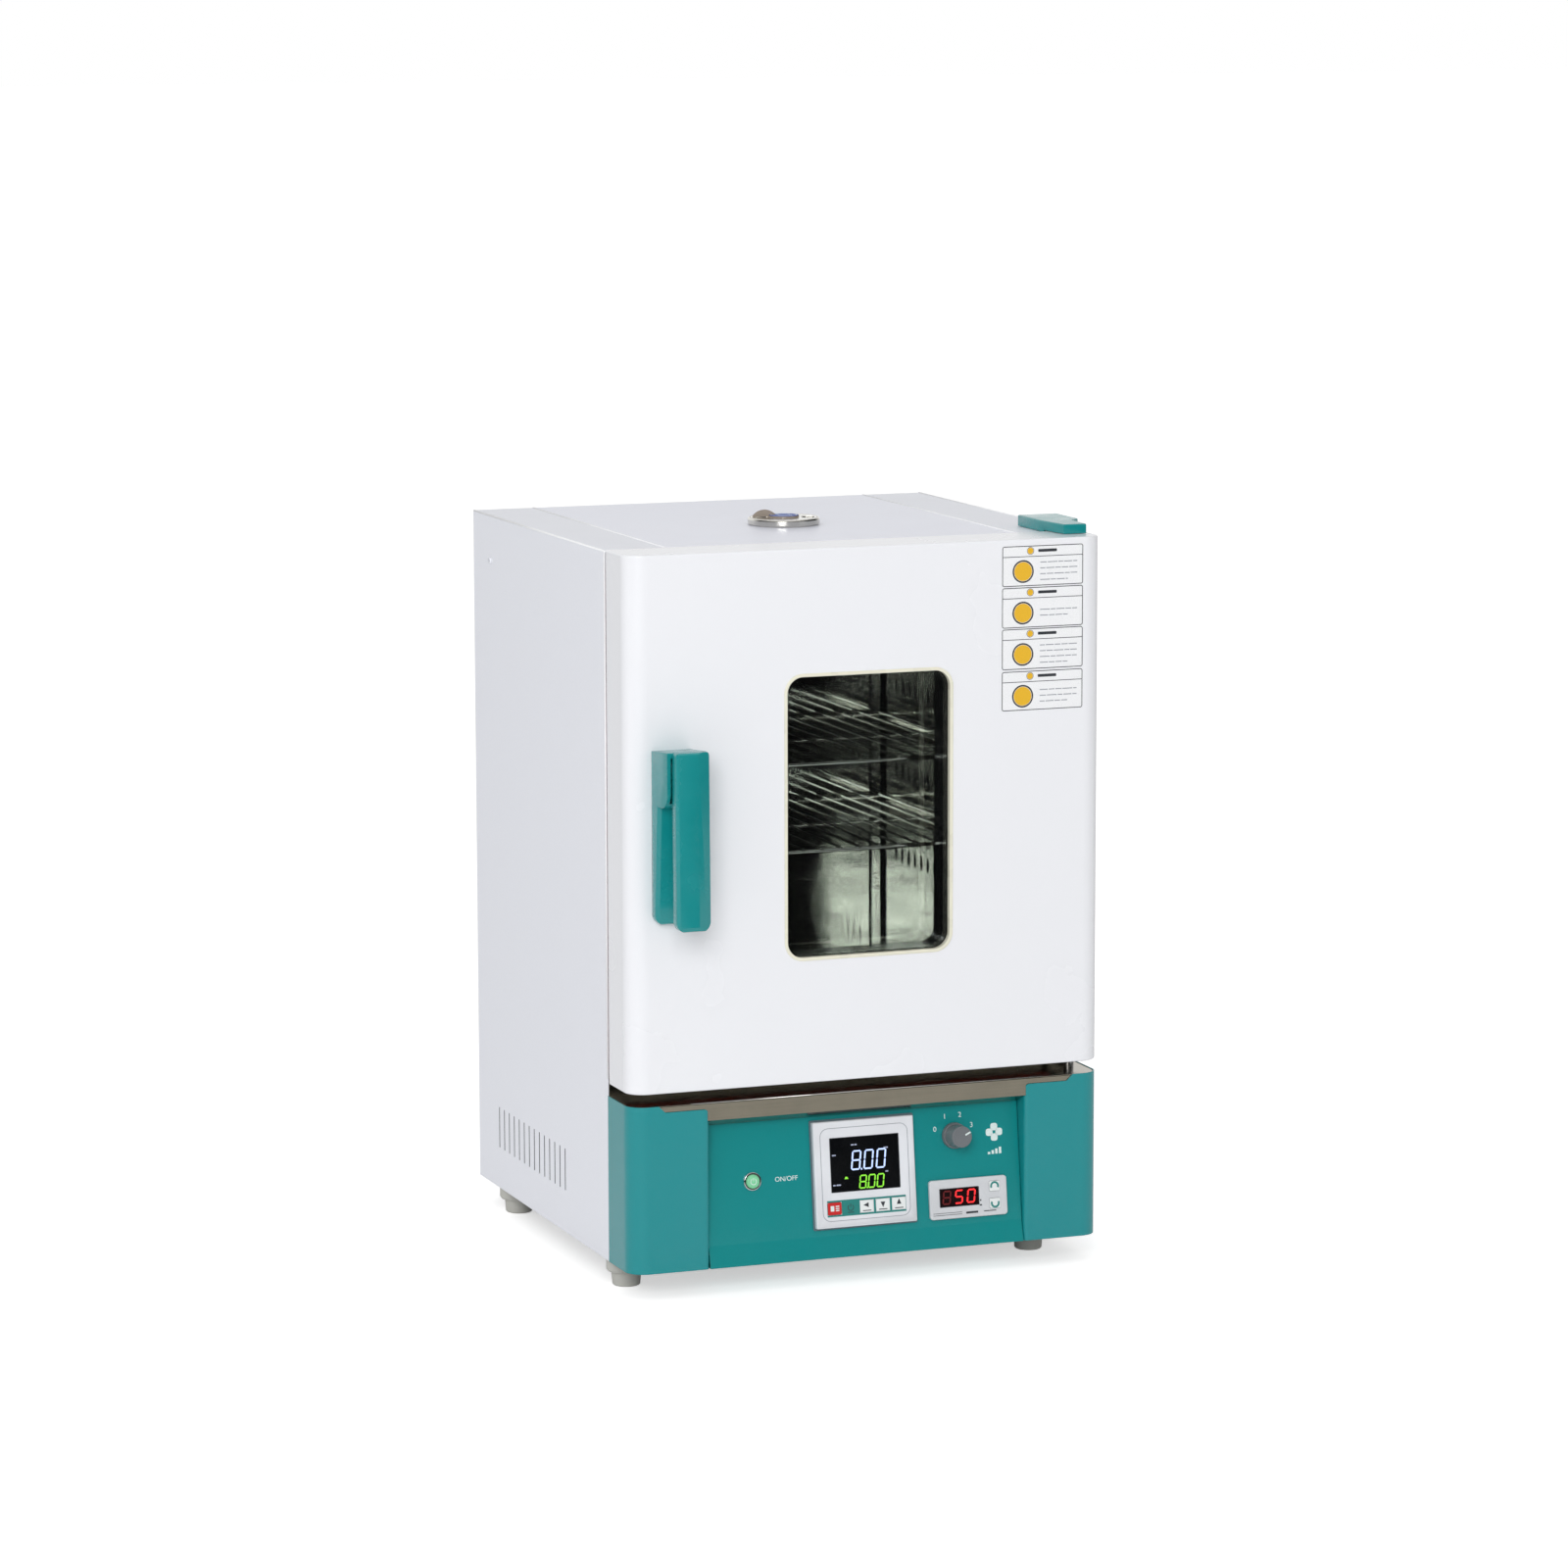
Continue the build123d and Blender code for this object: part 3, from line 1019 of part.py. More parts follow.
# Vent damper: turning plate with air holes, centre cap and a bent-up finger flap
with BuildPart() as vent_damper:
    rod((0, vent_y, damper_z), (0, vent_y, damper_z + DAMPER_PLATE), rim_inner - 0.5)
    with BuildSketch(vent_turned.offset(damper_z - 1)):
        for side in (-1, 1):
            with Locations((side * DAMPER_HOLE_OFFSET, 0)):
                Rectangle(2 * DAMPER_HOLE_RADIUS - 2, 2 * DAMPER_HOLE_RADIUS + 2)
        Circle(rim_inner - 3, mode=Mode.INTERSECT)
    extrude(amount=DAMPER_PLATE + 2, mode=Mode.SUBTRACT)
    plate_top = damper_z + DAMPER_PLATE
    rod((0, vent_y, plate_top), (0, vent_y, plate_top + DAMPER_CAP_HEIGHT), DAMPER_CAP_RADIUS)
    across = vent_turned.x_dir
    flap_base = Vector(0, vent_y, damper_z) - across * FLAP_OFFSET
    flap_plane = Plane(origin=flap_base, x_dir=across, z_dir=across.cross(Vector(0, 0, 1)))
    with BuildSketch(flap_plane.offset(-DAMPER_PLATE / 2)):
        with Locations((0, FLAP_HEIGHT - FLAP_RADIUS)):
            Circle(FLAP_RADIUS)
        with Locations((0, FLAP_HEIGHT / 2)):
            Rectangle(3 * FLAP_RADIUS, FLAP_HEIGHT, mode=Mode.INTERSECT)
    extrude(amount=DAMPER_PLATE)
    stud_clear = VENT_STUD_RADIUS + HINGE_CLEARANCE
    rod((0, vent_y, damper_z - 1), (0, vent_y, plate_top + 0.7), stud_clear, Mode.SUBTRACT)

# Door shell: painted pan with rounded upright edges, open at the back
bush_hole = BUSH_DIAMETER / 2
with BuildPart() as door_shell:
    with BuildSketch(Plane.XY.offset(door_bottom)):
        door_plan(0)
    extrude(amount=door_height)
    front_rim = door_shell.edges().filter_by_position(Axis.Y, door_front - 0.1, door_front + 0.1).filter_by(Axis.X)
    fillet(front_rim, radius=1.6)
    with BuildSketch(Plane.XY.offset(door_bottom + DOOR_SHEET)):
        door_plan(DOOR_SHEET)
    extrude(amount=door_height - 2 * DOOR_SHEET, mode=Mode.SUBTRACT)
    opening_x = (-half_width + DOOR_RETURN, half_width - DOOR_HINGE_CORNER - INNER_PANEL_LAP)
    opening_z = (door_bottom + DOOR_RETURN, door_top - DOOR_RETURN)
    block(opening_x, (door_back - 2 * DOOR_SHEET, door_back + 1), opening_z, Mode.SUBTRACT)
    window_prism(TRIM_WALL, (door_front - 1, door_front + 2 * DOOR_SHEET), Mode.SUBTRACT)
    slot_half = LATCH_SLOT_WIDTH / 2
    slot_x = (tongue_x - slot_half, tongue_x + slot_half)
    block(slot_x, (door_front - 1, door_front + 2 * DOOR_SHEET), (slot_bottom, slot_top), Mode.SUBTRACT)
    for end_z in (door_bottom, door_top):
        rod((hinge_x, hinge_y, end_z - 2), (hinge_x, hinge_y, end_z + 2), bush_hole, Mode.SUBTRACT)

# Door inner panel: stainless cover with a flared collar back from the inner pane
pane_front = door_front + TRIM_DEPTH
tunnel_front = pane_front + PANE_THICKNESS
inner_pane_front = door_front + TRIM_DEPTH + PANE_THICKNESS + REVEAL_DEPTH
collar_front = inner_pane_front + PANE_THICKNESS
with BuildPart() as door_inner_panel:
    flush_x = (opening_x[0] + FIT, opening_x[1] - FIT)
    flush_z = (opening_z[0] + FIT, opening_z[1] - FIT)
    block(flush_x, (door_back - DOOR_SHEET, door_back), flush_z)
    lap_x = (opening_x[0] - INNER_PANEL_LAP, opening_x[1] + INNER_PANEL_LAP)
    lap_z = (opening_z[0] - INNER_PANEL_LAP, opening_z[1] + INNER_PANEL_LAP)
    block(lap_x, (door_back - 2 * DOOR_SHEET, door_back - DOOR_SHEET), lap_z)
    collar_back = door_back - DOOR_SHEET
    with BuildSketch(Plane.XZ.offset(-collar_front)):
        with Locations((0, window_z)):
            RectangleRounded(WINDOW_WIDTH + 2 * LINER_SHEET, WINDOW_HEIGHT + 2 * LINER_SHEET, WINDOW_CORNER)
    with BuildSketch(Plane.XZ.offset(-collar_back)):
        with Locations((0, window_z)):
            flare_out = 2 * (FLARE + LINER_SHEET)
            RectangleRounded(WINDOW_WIDTH + flare_out, WINDOW_HEIGHT + flare_out, WINDOW_CORNER + FLARE)
    loft()
    window_prism(PANE_LAP, (collar_front, collar_front + LINER_SHEET))
    with BuildSketch(Plane.XZ.offset(-collar_front)):
        with Locations((0, window_z)):
            RectangleRounded(WINDOW_WIDTH, WINDOW_HEIGHT, WINDOW_CORNER)
    with BuildSketch(Plane.XZ.offset(-door_back)):
        with Locations((0, window_z)):
            RectangleRounded(WINDOW_WIDTH + 2 * FLARE, WINDOW_HEIGHT + 2 * FLARE, WINDOW_CORNER + FLARE)
    loft(mode=Mode.SUBTRACT)
    block(slot_x, (door_back - 3 * DOOR_SHEET, door_back + 1), (slot_bottom, slot_top), Mode.SUBTRACT)

# Door insulation, pocketed for the window, the latch and the hinge bushes
with BuildPart() as door_insulation:
    wool_x = (-half_width + DOOR_FRONT_CORNER, half_width - DOOR_FRONT_CORNER)
    wool_y = (door_front + DOOR_SHEET + FIT, door_back - 2 * DOOR_SHEET - FIT)
    wool_z = (door_bottom + DOOR_SHEET + FIT, door_top - DOOR_SHEET - FIT)
    block(wool_x, wool_y, wool_z)
    window_prism(WINDOW_POCKET, (wool_y[0] - 1, wool_y[1] + 1), Mode.SUBTRACT)
    tongue_path_x = (slot_x[0] - 1, slot_x[1] + 1)
    block(tongue_path_x, (wool_y[0] - 1, wool_y[1] + 1), (slot_bottom - 1, slot_top + 1), Mode.SUBTRACT)
    for end_z, reach in ((door_bottom, BUSH_LENGTH + 2), (door_top, -BUSH_LENGTH - 2)):
        bush_pocket = (hinge_x - bush_hole - 1, hinge_x + 20)
        pocket_span = sorted((end_z, end_z + reach))
        block(bush_pocket, (hinge_y - bush_hole - 1, hinge_y + bush_hole + 1), pocket_span, Mode.SUBTRACT)

# Window: cream trim, two panes and the dark reveal frame between them
with BuildPart() as window_trim:
    window_prism(TRIM_LIP, (door_front - TRIM_LIP_THICKNESS, door_front))
    window_prism(TRIM_WALL, (door_front, pane_front))
    window_prism(TRIM_VIEW_GAP, (door_front - 2, pane_front + 1), Mode.SUBTRACT)

with BuildPart() as window_panes:
    window_prism(PANE_LAP, (pane_front, tunnel_front))
    window_prism(PANE_LAP, (inner_pane_front, collar_front))

with BuildPart() as window_reveal:
    window_prism(REVEAL_SHEET, (tunnel_front, inner_pane_front))
    window_prism(PANE_LAP, (tunnel_front, tunnel_front + REVEAL_SHEET))
    window_prism(PANE_LAP, (inner_pane_front - REVEAL_SHEET, inner_pane_front))
    window_prism(0, (tunnel_front - 1, inner_pane_front + 1), Mode.SUBTRACT)

# Door gasket on the back of the door
with BuildPart() as door_gasket:
    seal_x = (-half_width + GASKET_SIDE_INSET, hinge_x - GASKET_HINGE_INSET)
    seal_z = (door_bottom - GASKET_HANG, door_top - GASKET_TOP_INSET)
    seal_centre = ((seal_x[0] + seal_x[1]) / 2, (seal_z[0] + seal_z[1]) / 2)
    seal_size = (seal_x[1] - seal_x[0], seal_z[1] - seal_z[0])
    seal_y = (door_back, door_back + GASKET_THICKNESS)
    rounded_prism_y(seal_centre, seal_size, GASKET_CORNER, seal_y)
    seal_hole = (seal_size[0] - 2 * GASKET_WIDTH, seal_size[1] - 2 * GASKET_WIDTH)
    seal_cut = (door_back - 1, door_back + GASKET_THICKNESS + 1)
    rounded_prism_y(seal_centre, seal_hole, GASKET_CORNER - GASKET_WIDTH, seal_cut, Mode.SUBTRACT)

# Hinge bushes in the door's two ends
with BuildPart() as hinge_bushes:
    for end_z, reach in ((door_bottom, BUSH_LENGTH), (door_top, -BUSH_LENGTH)):
        rod((hinge_x, hinge_y, end_z), (hinge_x, hinge_y, end_z + reach), BUSH_DIAMETER / 2)
        bore = HINGE_PIN / 2 + HINGE_CLEARANCE
        rod((hinge_x, hinge_y, end_z - reach), (hinge_x, hinge_y, end_z + 2 * reach), bore, Mode.SUBTRACT)

# Handle base: tapered finger plate below, hollow housing above
base_left = handle_x - HANDLE_WIDTH / 2
base_right = handle_x + HANDLE_WIDTH / 2
housing_z = handle_top - HOUSING_LENGTH
head_reach = HOUSING_DEPTH + LEVER_GAP + LEVER_THICKNESS
head_slope = HANDLE_TOP_FALL / head_reach
head_back = handle_top - HANDLE_TOP_FALL
with BuildPart() as handle_base:
    with BuildSketch(Plane.YZ.offset(base_left)):
        with BuildLine():
            FilletPolyline(
                (door_front, handle_bottom),
                (door_front - BASE_BOTTOM_DEPTH, handle_bottom),
                (door_front - BASE_TOP_DEPTH, housing_z),
                (door_front - HOUSING_DEPTH, housing_z),
                (door_front - HOUSING_DEPTH, head_back + HOUSING_DEPTH * head_slope),
                (door_front, head_back),
                radius=[4, 3, HOUSING_NOSE, 1],
            )
            Line((door_front, head_back), (door_front, handle_bottom))
        make_face()
    extrude(amount=HANDLE_WIDTH)
    with BuildSketch(Plane.XZ.offset(-door_front)):
        with BuildLine():
            FilletPolyline(
                (base_left, handle_bottom),
                (base_right, handle_bottom),
                (base_right, handle_top),
                (base_left, handle_top),
                radius=[HANDLE_FOOT_CORNER, HANDLE_FOOT_CORNER, HANDLE_HEAD_CORNER, HANDLE_HEAD_CORNER],
                close=True,
            )
        make_face()
    extrude(amount=HOUSING_DEPTH, mode=Mode.INTERSECT)
    for side in (-1, 1):
        edge_x = handle_x + side * HANDLE_WIDTH / 2
        for level, depth in ((handle_bottom - 1, BASE_BOTTOM_DEPTH), (housing_z, BASE_TOP_DEPTH)):
            with BuildSketch(Plane.XY.offset(level)):
                Polygon(
                    (edge_x - side * BASE_BEVEL, door_front - depth - 1),
                    (edge_x + side, door_front - depth - 1),
                    (edge_x + side, door_front - depth + BASE_BEVEL),
                    (edge_x, door_front - depth + BASE_BEVEL),
                    (edge_x - side * BASE_BEVEL, door_front - depth),
                )
        loft(mode=Mode.SUBTRACT)
    cavity_x = (base_left + HOUSING_WALL + 1, base_left + HANDLE_WIDTH - HOUSING_WALL - 1)
    cavity_y = (door_front - HOUSING_DEPTH - 1, door_front - HOUSING_WALL)
    block(cavity_x, cavity_y, (housing_z + 2 * HOUSING_WALL, head_back - HOUSING_WALL / 2), Mode.SUBTRACT)
    block(slot_x, (door_front - HOUSING_WALL - 1, door_front + 1), (slot_bottom, slot_top), Mode.SUBTRACT)
    pin_span = (base_left + 1, base_left + HANDLE_WIDTH - 1)
    rod((pin_span[0], pivot_y, pivot_z), (pin_span[1], pivot_y, pivot_z), PIVOT_PIN / 2, Mode.SUBTRACT)

with BuildPart() as handle_pin:
    rod((pin_span[0], pivot_y, pivot_z), (pin_span[1], pivot_y, pivot_z), PIVOT_PIN / 2)

# Handle lever: faceted grip hanging from two lugs on the pivot pin
lever_back = door_front - HOUSING_DEPTH - LEVER_GAP
lever_left = lever_x - LEVER_WIDTH / 2
lever_right = lever_x + LEVER_WIDTH / 2
lug_bore = PIVOT_PIN / 2 + HINGE_CLEARANCE
tongue_half = TONGUE_THICKNESS / 2
relief_top = handle_top - (LEVER_THICKNESS - LEVER_RELIEF) * head_slope
with BuildPart() as handle_lever:
    with BuildSketch(Plane.YZ.offset(lever_left)):
        with BuildLine():
            FilletPolyline(
                (lever_back, pivot_z),
                (lever_back - LEVER_LEAN, handle_bottom),
                (lever_back - LEVER_LEAN - LEVER_THICKNESS, handle_bottom),
                (lever_back - LEVER_THICKNESS, handle_top),
                (lever_back - LEVER_RELIEF, relief_top),
                radius=[3, 5, LEVER_BEVEL],
            )
            Line((lever_back - LEVER_RELIEF, relief_top), (lever_back, pivot_z))
        make_face()
    extrude(amount=LEVER_WIDTH)
    with BuildSketch(Plane.XZ.offset(-lever_back)):
        with BuildLine():
            FilletPolyline(
                (lever_left, handle_bottom),
                (lever_right, handle_bottom),
                (lever_right, handle_top),
                (lever_left, handle_top),
                radius=[LEVER_FOOT_CORNER, LEVER_FOOT_CORNER, LEVER_HEAD_CORNER, LEVER_HEAD_CORNER],
                close=True,
            )
        make_face()
    extrude(amount=LEVER_THICKNESS + LEVER_LEAN, mode=Mode.INTERSECT)
    facet_front = lever_back - LEVER_THICKNESS - LEVER_LEAN - 5
    facet_depth = LEVER_FACET_DEPTH
    with BuildSketch(Plane.XY.offset(handle_bottom - 5)):
        Polygon(
            (lever_right - LEVER_FACET_WIDTH, lever_back - LEVER_THICKNESS - LEVER_LEAN),
            (lever_right + 1, lever_back - LEVER_THICKNESS - LEVER_LEAN + facet_depth),
            (lever_right + 1, facet_front),
            (lever_right - LEVER_FACET_WIDTH, facet_front),
        )
    with BuildSketch(Plane.XY.offset(handle_top + 5)):
        Polygon(
            (lever_right - LEVER_FACET_WIDTH, lever_back - LEVER_THICKNESS),
            (lever_right + 1, lever_back - LEVER_THICKNESS + facet_depth),
            (lever_right + 1, facet_front),
            (lever_right - LEVER_FACET_WIDTH, facet_front),
        )
    loft(mode=Mode.SUBTRACT)
    with BuildSketch(Plane.XY.offset(handle_bottom - 5)):
        Polygon(
            (lever_left - 1, facet_front),
            (lever_left + LEVER_BEVEL, facet_front),
            (lever_left + LEVER_BEVEL, lever_back - LEVER_THICKNESS - LEVER_LEAN),
            (lever_left - 1, lever_back - LEVER_THICKNESS - LEVER_LEAN + LEVER_BEVEL + 1),
        )
    with BuildSketch(Plane.XY.offset(handle_top + 5)):
        Polygon(
            (lever_left - 1, facet_front),
            (lever_left + LEVER_BEVEL, facet_front),
            (lever_left + LEVER_BEVEL, lever_back - LEVER_THICKNESS),
            (lever_left - 1, lever_back - LEVER_THICKNESS + LEVER_BEVEL + 1),
        )
    loft(mode=Mode.SUBTRACT)
    for lug_x in (tongue_x - tongue_half - LUG_THICKNESS, tongue_x + tongue_half):
        with BuildSketch(Plane.YZ.offset(lug_x)):
            with Locations((pivot_y, pivot_z)):
                Circle(LUG_RADIUS)
            with Locations(((pivot_y + lever_back - 1) / 2, pivot_z - LUG_RADIUS / 2)):
                Rectangle(pivot_y - lever_back + 1, LUG_RADIUS)
        extrude(amount=LUG_THICKNESS)
    rod((lever_left - 1, pivot_y, pivot_z), (lever_right + 1, pivot_y, pivot_z), lug_bore, Mode.SUBTRACT)

# Latch tongue clamped between the lever's lugs
with BuildPart() as latch_tongue:
    with BuildSketch(Plane.YZ.offset(tongue_x - tongue_half)):
        with Locations((pivot_y, pivot_z)):
            Circle(LUG_RADIUS)
        with Locations(((pivot_y + tongue_tip) / 2, pivot_z)):
            Rectangle(tongue_length, TONGUE_HEIGHT)
    extrude(amount=TONGUE_THICKNESS)
    tip_edges = latch_tongue.edges().filter_by(Axis.X).group_by(Axis.Y)[-1]
    fillet(tip_edges, radius=2.5)
    bore_x = (tongue_x - tongue_half - 1, tongue_x + tongue_half + 1)
    rod((bore_x[0], pivot_y, pivot_z), (bore_x[1], pivot_y, pivot_z), lug_bore, Mode.SUBTRACT)

# Temperature controller: case with bezel, display and four keys
key_columns = {"key_set": -2, "key_shift": 0, "key_down": 1, "key_up": 2}
with BuildPart() as controller_case:
    with BuildSketch(control_plane):
        with Locations((CONTROLLER_X, CONTROLLER_RISE)):
            RectangleRounded(BEZEL_WIDTH, BEZEL_HEIGHT, BEZEL_CORNER)
    extrude(amount=BEZEL_THICKNESS)
    fillet(controller_case.faces().sort_by(Axis.Y)[0].edges(), radius=1.2)
    with BuildSketch(control_plane):
        with Locations((CONTROLLER_X, CONTROLLER_RISE)):
            RectangleRounded(CONTROLLER_CASE, CONTROLLER_CASE, 1)
    extrude(amount=-CONTROLLER_CASE_DEPTH)
    with BuildSketch(control_plane.offset(BEZEL_THICKNESS + 1)):
        with Locations((CONTROLLER_X, DISPLAY_RISE)):
            Rectangle(DISPLAY_WIDTH, DISPLAY_HEIGHT)
    extrude(amount=-1 - DISPLAY_RECESS - DISPLAY_THICKNESS, mode=Mode.SUBTRACT)
    with BuildSketch(control_plane.offset(BEZEL_THICKNESS + 1)):
        for column in key_columns.values():
            with Locations((CONTROLLER_X + column * KEY_PITCH, KEY_RISE)):
                well = 2 * KEY_CLEARANCE
                RectangleRounded(KEY_WIDTH + well, KEY_HEIGHT + well, KEY_CORNER + KEY_CLEARANCE)
    extrude(amount=-1 - KEY_DEPTH - KEY_TRAVEL, mode=Mode.SUBTRACT)

with BuildPart() as controller_display:
    with BuildSketch(control_plane.offset(BEZEL_THICKNESS - DISPLAY_RECESS - DISPLAY_THICKNESS)):
        with Locations((CONTROLLER_X, DISPLAY_RISE)):
            Rectangle(DISPLAY_WIDTH, DISPLAY_HEIGHT)
    extrude(amount=DISPLAY_THICKNESS)

keys = {}
for key_name, column in key_columns.items():
    with BuildPart() as key:
        with BuildSketch(control_plane.offset(BEZEL_THICKNESS - KEY_DEPTH + FIT)):
            with Locations((CONTROLLER_X + column * KEY_PITCH, KEY_RISE)):
                RectangleRounded(KEY_WIDTH, KEY_HEIGHT, KEY_CORNER)
        extrude(amount=KEY_DEPTH + KEY_PROUD - FIT)
        fillet(key.faces().sort_by(Axis.Y)[0].edges(), radius=0.35)
    keys[key_name] = key

# Over-temperature limiter: case with bezel, display and two keys
with BuildPart() as limiter_case:
    with BuildSketch(control_plane):
        with Locations((LIMITER_X, LIMITER_RISE)):
            RectangleRounded(LIMITER_WIDTH, LIMITER_HEIGHT, LIMITER_CORNER)
    extrude(amount=LIMITER_THICKNESS)
    fillet(limiter_case.faces().sort_by(Axis.Y)[0].edges(), radius=0.9)
    with BuildSketch(control_plane):
        with Locations((LIMITER_X, LIMITER_RISE)):
            RectangleRounded(LIMITER_CASE_WIDTH, LIMITER_CASE_HEIGHT, 1)
    extrude(amount=-LIMITER_CASE_DEPTH)
    with BuildSketch(control_plane.offset(LIMITER_THICKNESS + 1)):
        with Locations((LIMITER_DISPLAY_X, LIMITER_DISPLAY_RISE)):
            Rectangle(LIMITER_DISPLAY_WIDTH, LIMITER_DISPLAY_HEIGHT)
    extrude(amount=-1 - DISPLAY_RECESS - DISPLAY_THICKNESS, mode=Mode.SUBTRACT)
    with BuildSketch(control_plane.offset(LIMITER_THICKNESS + 1)):
        for rise in LIMITER_KEY_RISES.values():
            with Locations((LIMITER_KEY_X, rise)):
                well = 2 * KEY_CLEARANCE
                RectangleRounded(LIMITER_KEY_WIDTH + well, LIMITER_KEY_HEIGHT + well, KEY_CORNER + KEY_CLEARANCE)
    extrude(amount=-1 - LIMITER_KEY_DEPTH - KEY_TRAVEL, mode=Mode.SUBTRACT)

with BuildPart() as limiter_display:
    with BuildSketch(control_plane.offset(LIMITER_THICKNESS - DISPLAY_RECESS - DISPLAY_THICKNESS)):
        with Locations((LIMITER_DISPLAY_X, LIMITER_DISPLAY_RISE)):
            Rectangle(LIMITER_DISPLAY_WIDTH, LIMITER_DISPLAY_HEIGHT)
    extrude(amount=DISPLAY_THICKNESS)

for key_name, rise in LIMITER_KEY_RISES.items():
    with BuildPart() as key:
        with BuildSketch(control_plane.offset(LIMITER_THICKNESS - LIMITER_KEY_DEPTH + FIT)):
            with Locations((LIMITER_KEY_X, rise)):
                RectangleRounded(LIMITER_KEY_WIDTH, LIMITER_KEY_HEIGHT, KEY_CORNER)
        extrude(amount=LIMITER_KEY_DEPTH + LIMITER_KEY_PROUD - FIT)
        fillet(key.faces().sort_by(Axis.Y)[0].edges(), radius=0.3)
    keys[key_name] = key

# Fan speed knob with its shaft, and the rotary switch behind the panel
knob_plane = Plane(
    origin=control_plane.from_local_coords(Vector(KNOB_X, KNOB_RISE, 0)),
    x_dir=(1, 0, 0),
    z_dir=panel_normal,
)
with BuildPart() as selector_knob:
    with BuildSketch(knob_plane.offset(KNOB_LIFT)):
        Circle(KNOB_SKIRT_RADIUS)
    extrude(amount=KNOB_SKIRT_HEIGHT, taper=6)
    grip_length = KNOB_HEIGHT - KNOB_LIFT - KNOB_SKIRT_HEIGHT
    with BuildSketch(knob_plane.offset(KNOB_LIFT + KNOB_SKIRT_HEIGHT)):
        Circle(KNOB_FACE_RADIUS + 0.8)
    extrude(amount=grip_length, taper=3)
    face_edge = selector_knob.faces().sort_by(Axis.Y)[0].edges()
    fillet(face_edge, radius=0.8)
    with BuildSketch(knob_plane.offset(KNOB_LIFT)):
        Circle(KNOB_HOLLOW_RADIUS)
    extrude(amount=KNOB_HOLLOW_DEPTH, mode=Mode.SUBTRACT)
    with BuildSketch(knob_plane.offset(KNOB_HEIGHT - POINTER_DEPTH)):
        with Locations(Location((0, 0, 0), (0, 0, KNOB_REST_ANGLE))):
            with Locations((KNOB_FACE_RADIUS - POINTER_LENGTH / 2, 0)):
                Rectangle(POINTER_LENGTH, POINTER_WIDTH)
    extrude(amount=POINTER_DEPTH + 1, mode=Mode.SUBTRACT)
    with BuildSketch(knob_plane.offset(KNOB_LIFT + KNOB_HOLLOW_DEPTH)):
        Circle(KNOB_SHAFT_RADIUS)
    extrude(amount=-KNOB_SHAFT_LENGTH)

with BuildPart() as selector_switch:
    with BuildSketch(knob_plane.offset(-PANEL_SHEET)):
        Circle(SWITCH_RADIUS)
    extrude(amount=-SWITCH_DEPTH)
    with BuildSketch(knob_plane.offset(-PANEL_SHEET)):
        Circle(SWITCH_BUSH_RADIUS)
    extrude(amount=PANEL_SHEET + SWITCH_NUT_HEIGHT + 1)
    with BuildSketch(knob_plane):
        RegularPolygon(SWITCH_NUT_RADIUS, 6)
    extrude(amount=SWITCH_NUT_HEIGHT)
    with BuildSketch(knob_plane.offset(KNOB_HEIGHT)):
        Circle(KNOB_SHAFT_RADIUS + HINGE_CLEARANCE)
    extrude(amount=-KNOB_HEIGHT - KNOB_SHAFT_LENGTH, mode=Mode.SUBTRACT)

# Lit push button: metal ring with barrel, and the domed cap that travels in it
button_plane = Plane(
    origin=control_plane.from_local_coords(Vector(BUTTON_X, BUTTON_RISE, 0)),
    x_dir=(1, 0, 0),
    z_dir=panel_normal,
)
with BuildPart() as power_button_ring:
    with BuildSketch(button_plane):
        Circle(BUTTON_RING_RADIUS)
    extrude(amount=BUTTON_RING_HEIGHT)
    fillet(power_button_ring.faces().sort_by(Axis.Y)[0].edges(), radius=0.9)
    with BuildSketch(button_plane):
        Circle(BUTTON_BARREL_RADIUS)
    extrude(amount=-BUTTON_BARREL_DEPTH)
    with BuildSketch(button_plane.offset(BUTTON_RING_HEIGHT + 1)):
        Circle(BUTTON_CAP_RADIUS + BUTTON_CAP_CLEARANCE)
    extrude(amount=-1 - BUTTON_RING_HEIGHT - BUTTON_CAP_DEPTH - BUTTON_TRAVEL - FIT, mode=Mode.SUBTRACT)

with BuildPart() as power_button_cap:
    with BuildSketch(button_plane.offset(-BUTTON_CAP_DEPTH)):
        Circle(BUTTON_CAP_RADIUS)
    extrude(amount=BUTTON_CAP_DEPTH + BUTTON_CAP_HEIGHT)
    fillet(power_button_cap.faces().sort_by(Axis.Y)[0].edges(), radius=1.8)

# Wiring loom: from the power inlet to the terminal block, and from there to the controller
inlet_tail = back_y - INLET_BODY_DEPTH
loom_z = pan_top + LOOM_RADIUS + 2
case_back = control_plane.from_local_coords(Vector(CONTROLLER_X - 20, 30, -CONTROLLER_CASE_DEPTH))
case_lead = case_back - panel_normal * 30
mains_run = [
    (inlet_x, inlet_tail, inlet_z),
    (inlet_x, inlet_tail - 30, inlet_z),
    (inlet_x, terminal_y, loom_z),
    (strip_x[1], terminal_y, loom_z),
]
controller_run = [
    tuple(case_back),
    tuple(case_lead),
    (strip_x[0] - LOOM_STANDOFF, terminal_y, loom_z),
    (strip_x[0], terminal_y, loom_z),
]
with BuildPart() as wiring_loom:
    for run, facing in ((mains_run, Vector(0, -1, 0)), (controller_run, -panel_normal)):
        with BuildLine():
            FilletPolyline(*run, radius=[12, 12])
        with BuildSketch(Plane(origin=run[0], z_dir=facing)):
            Circle(LOOM_RADIUS)
        sweep()

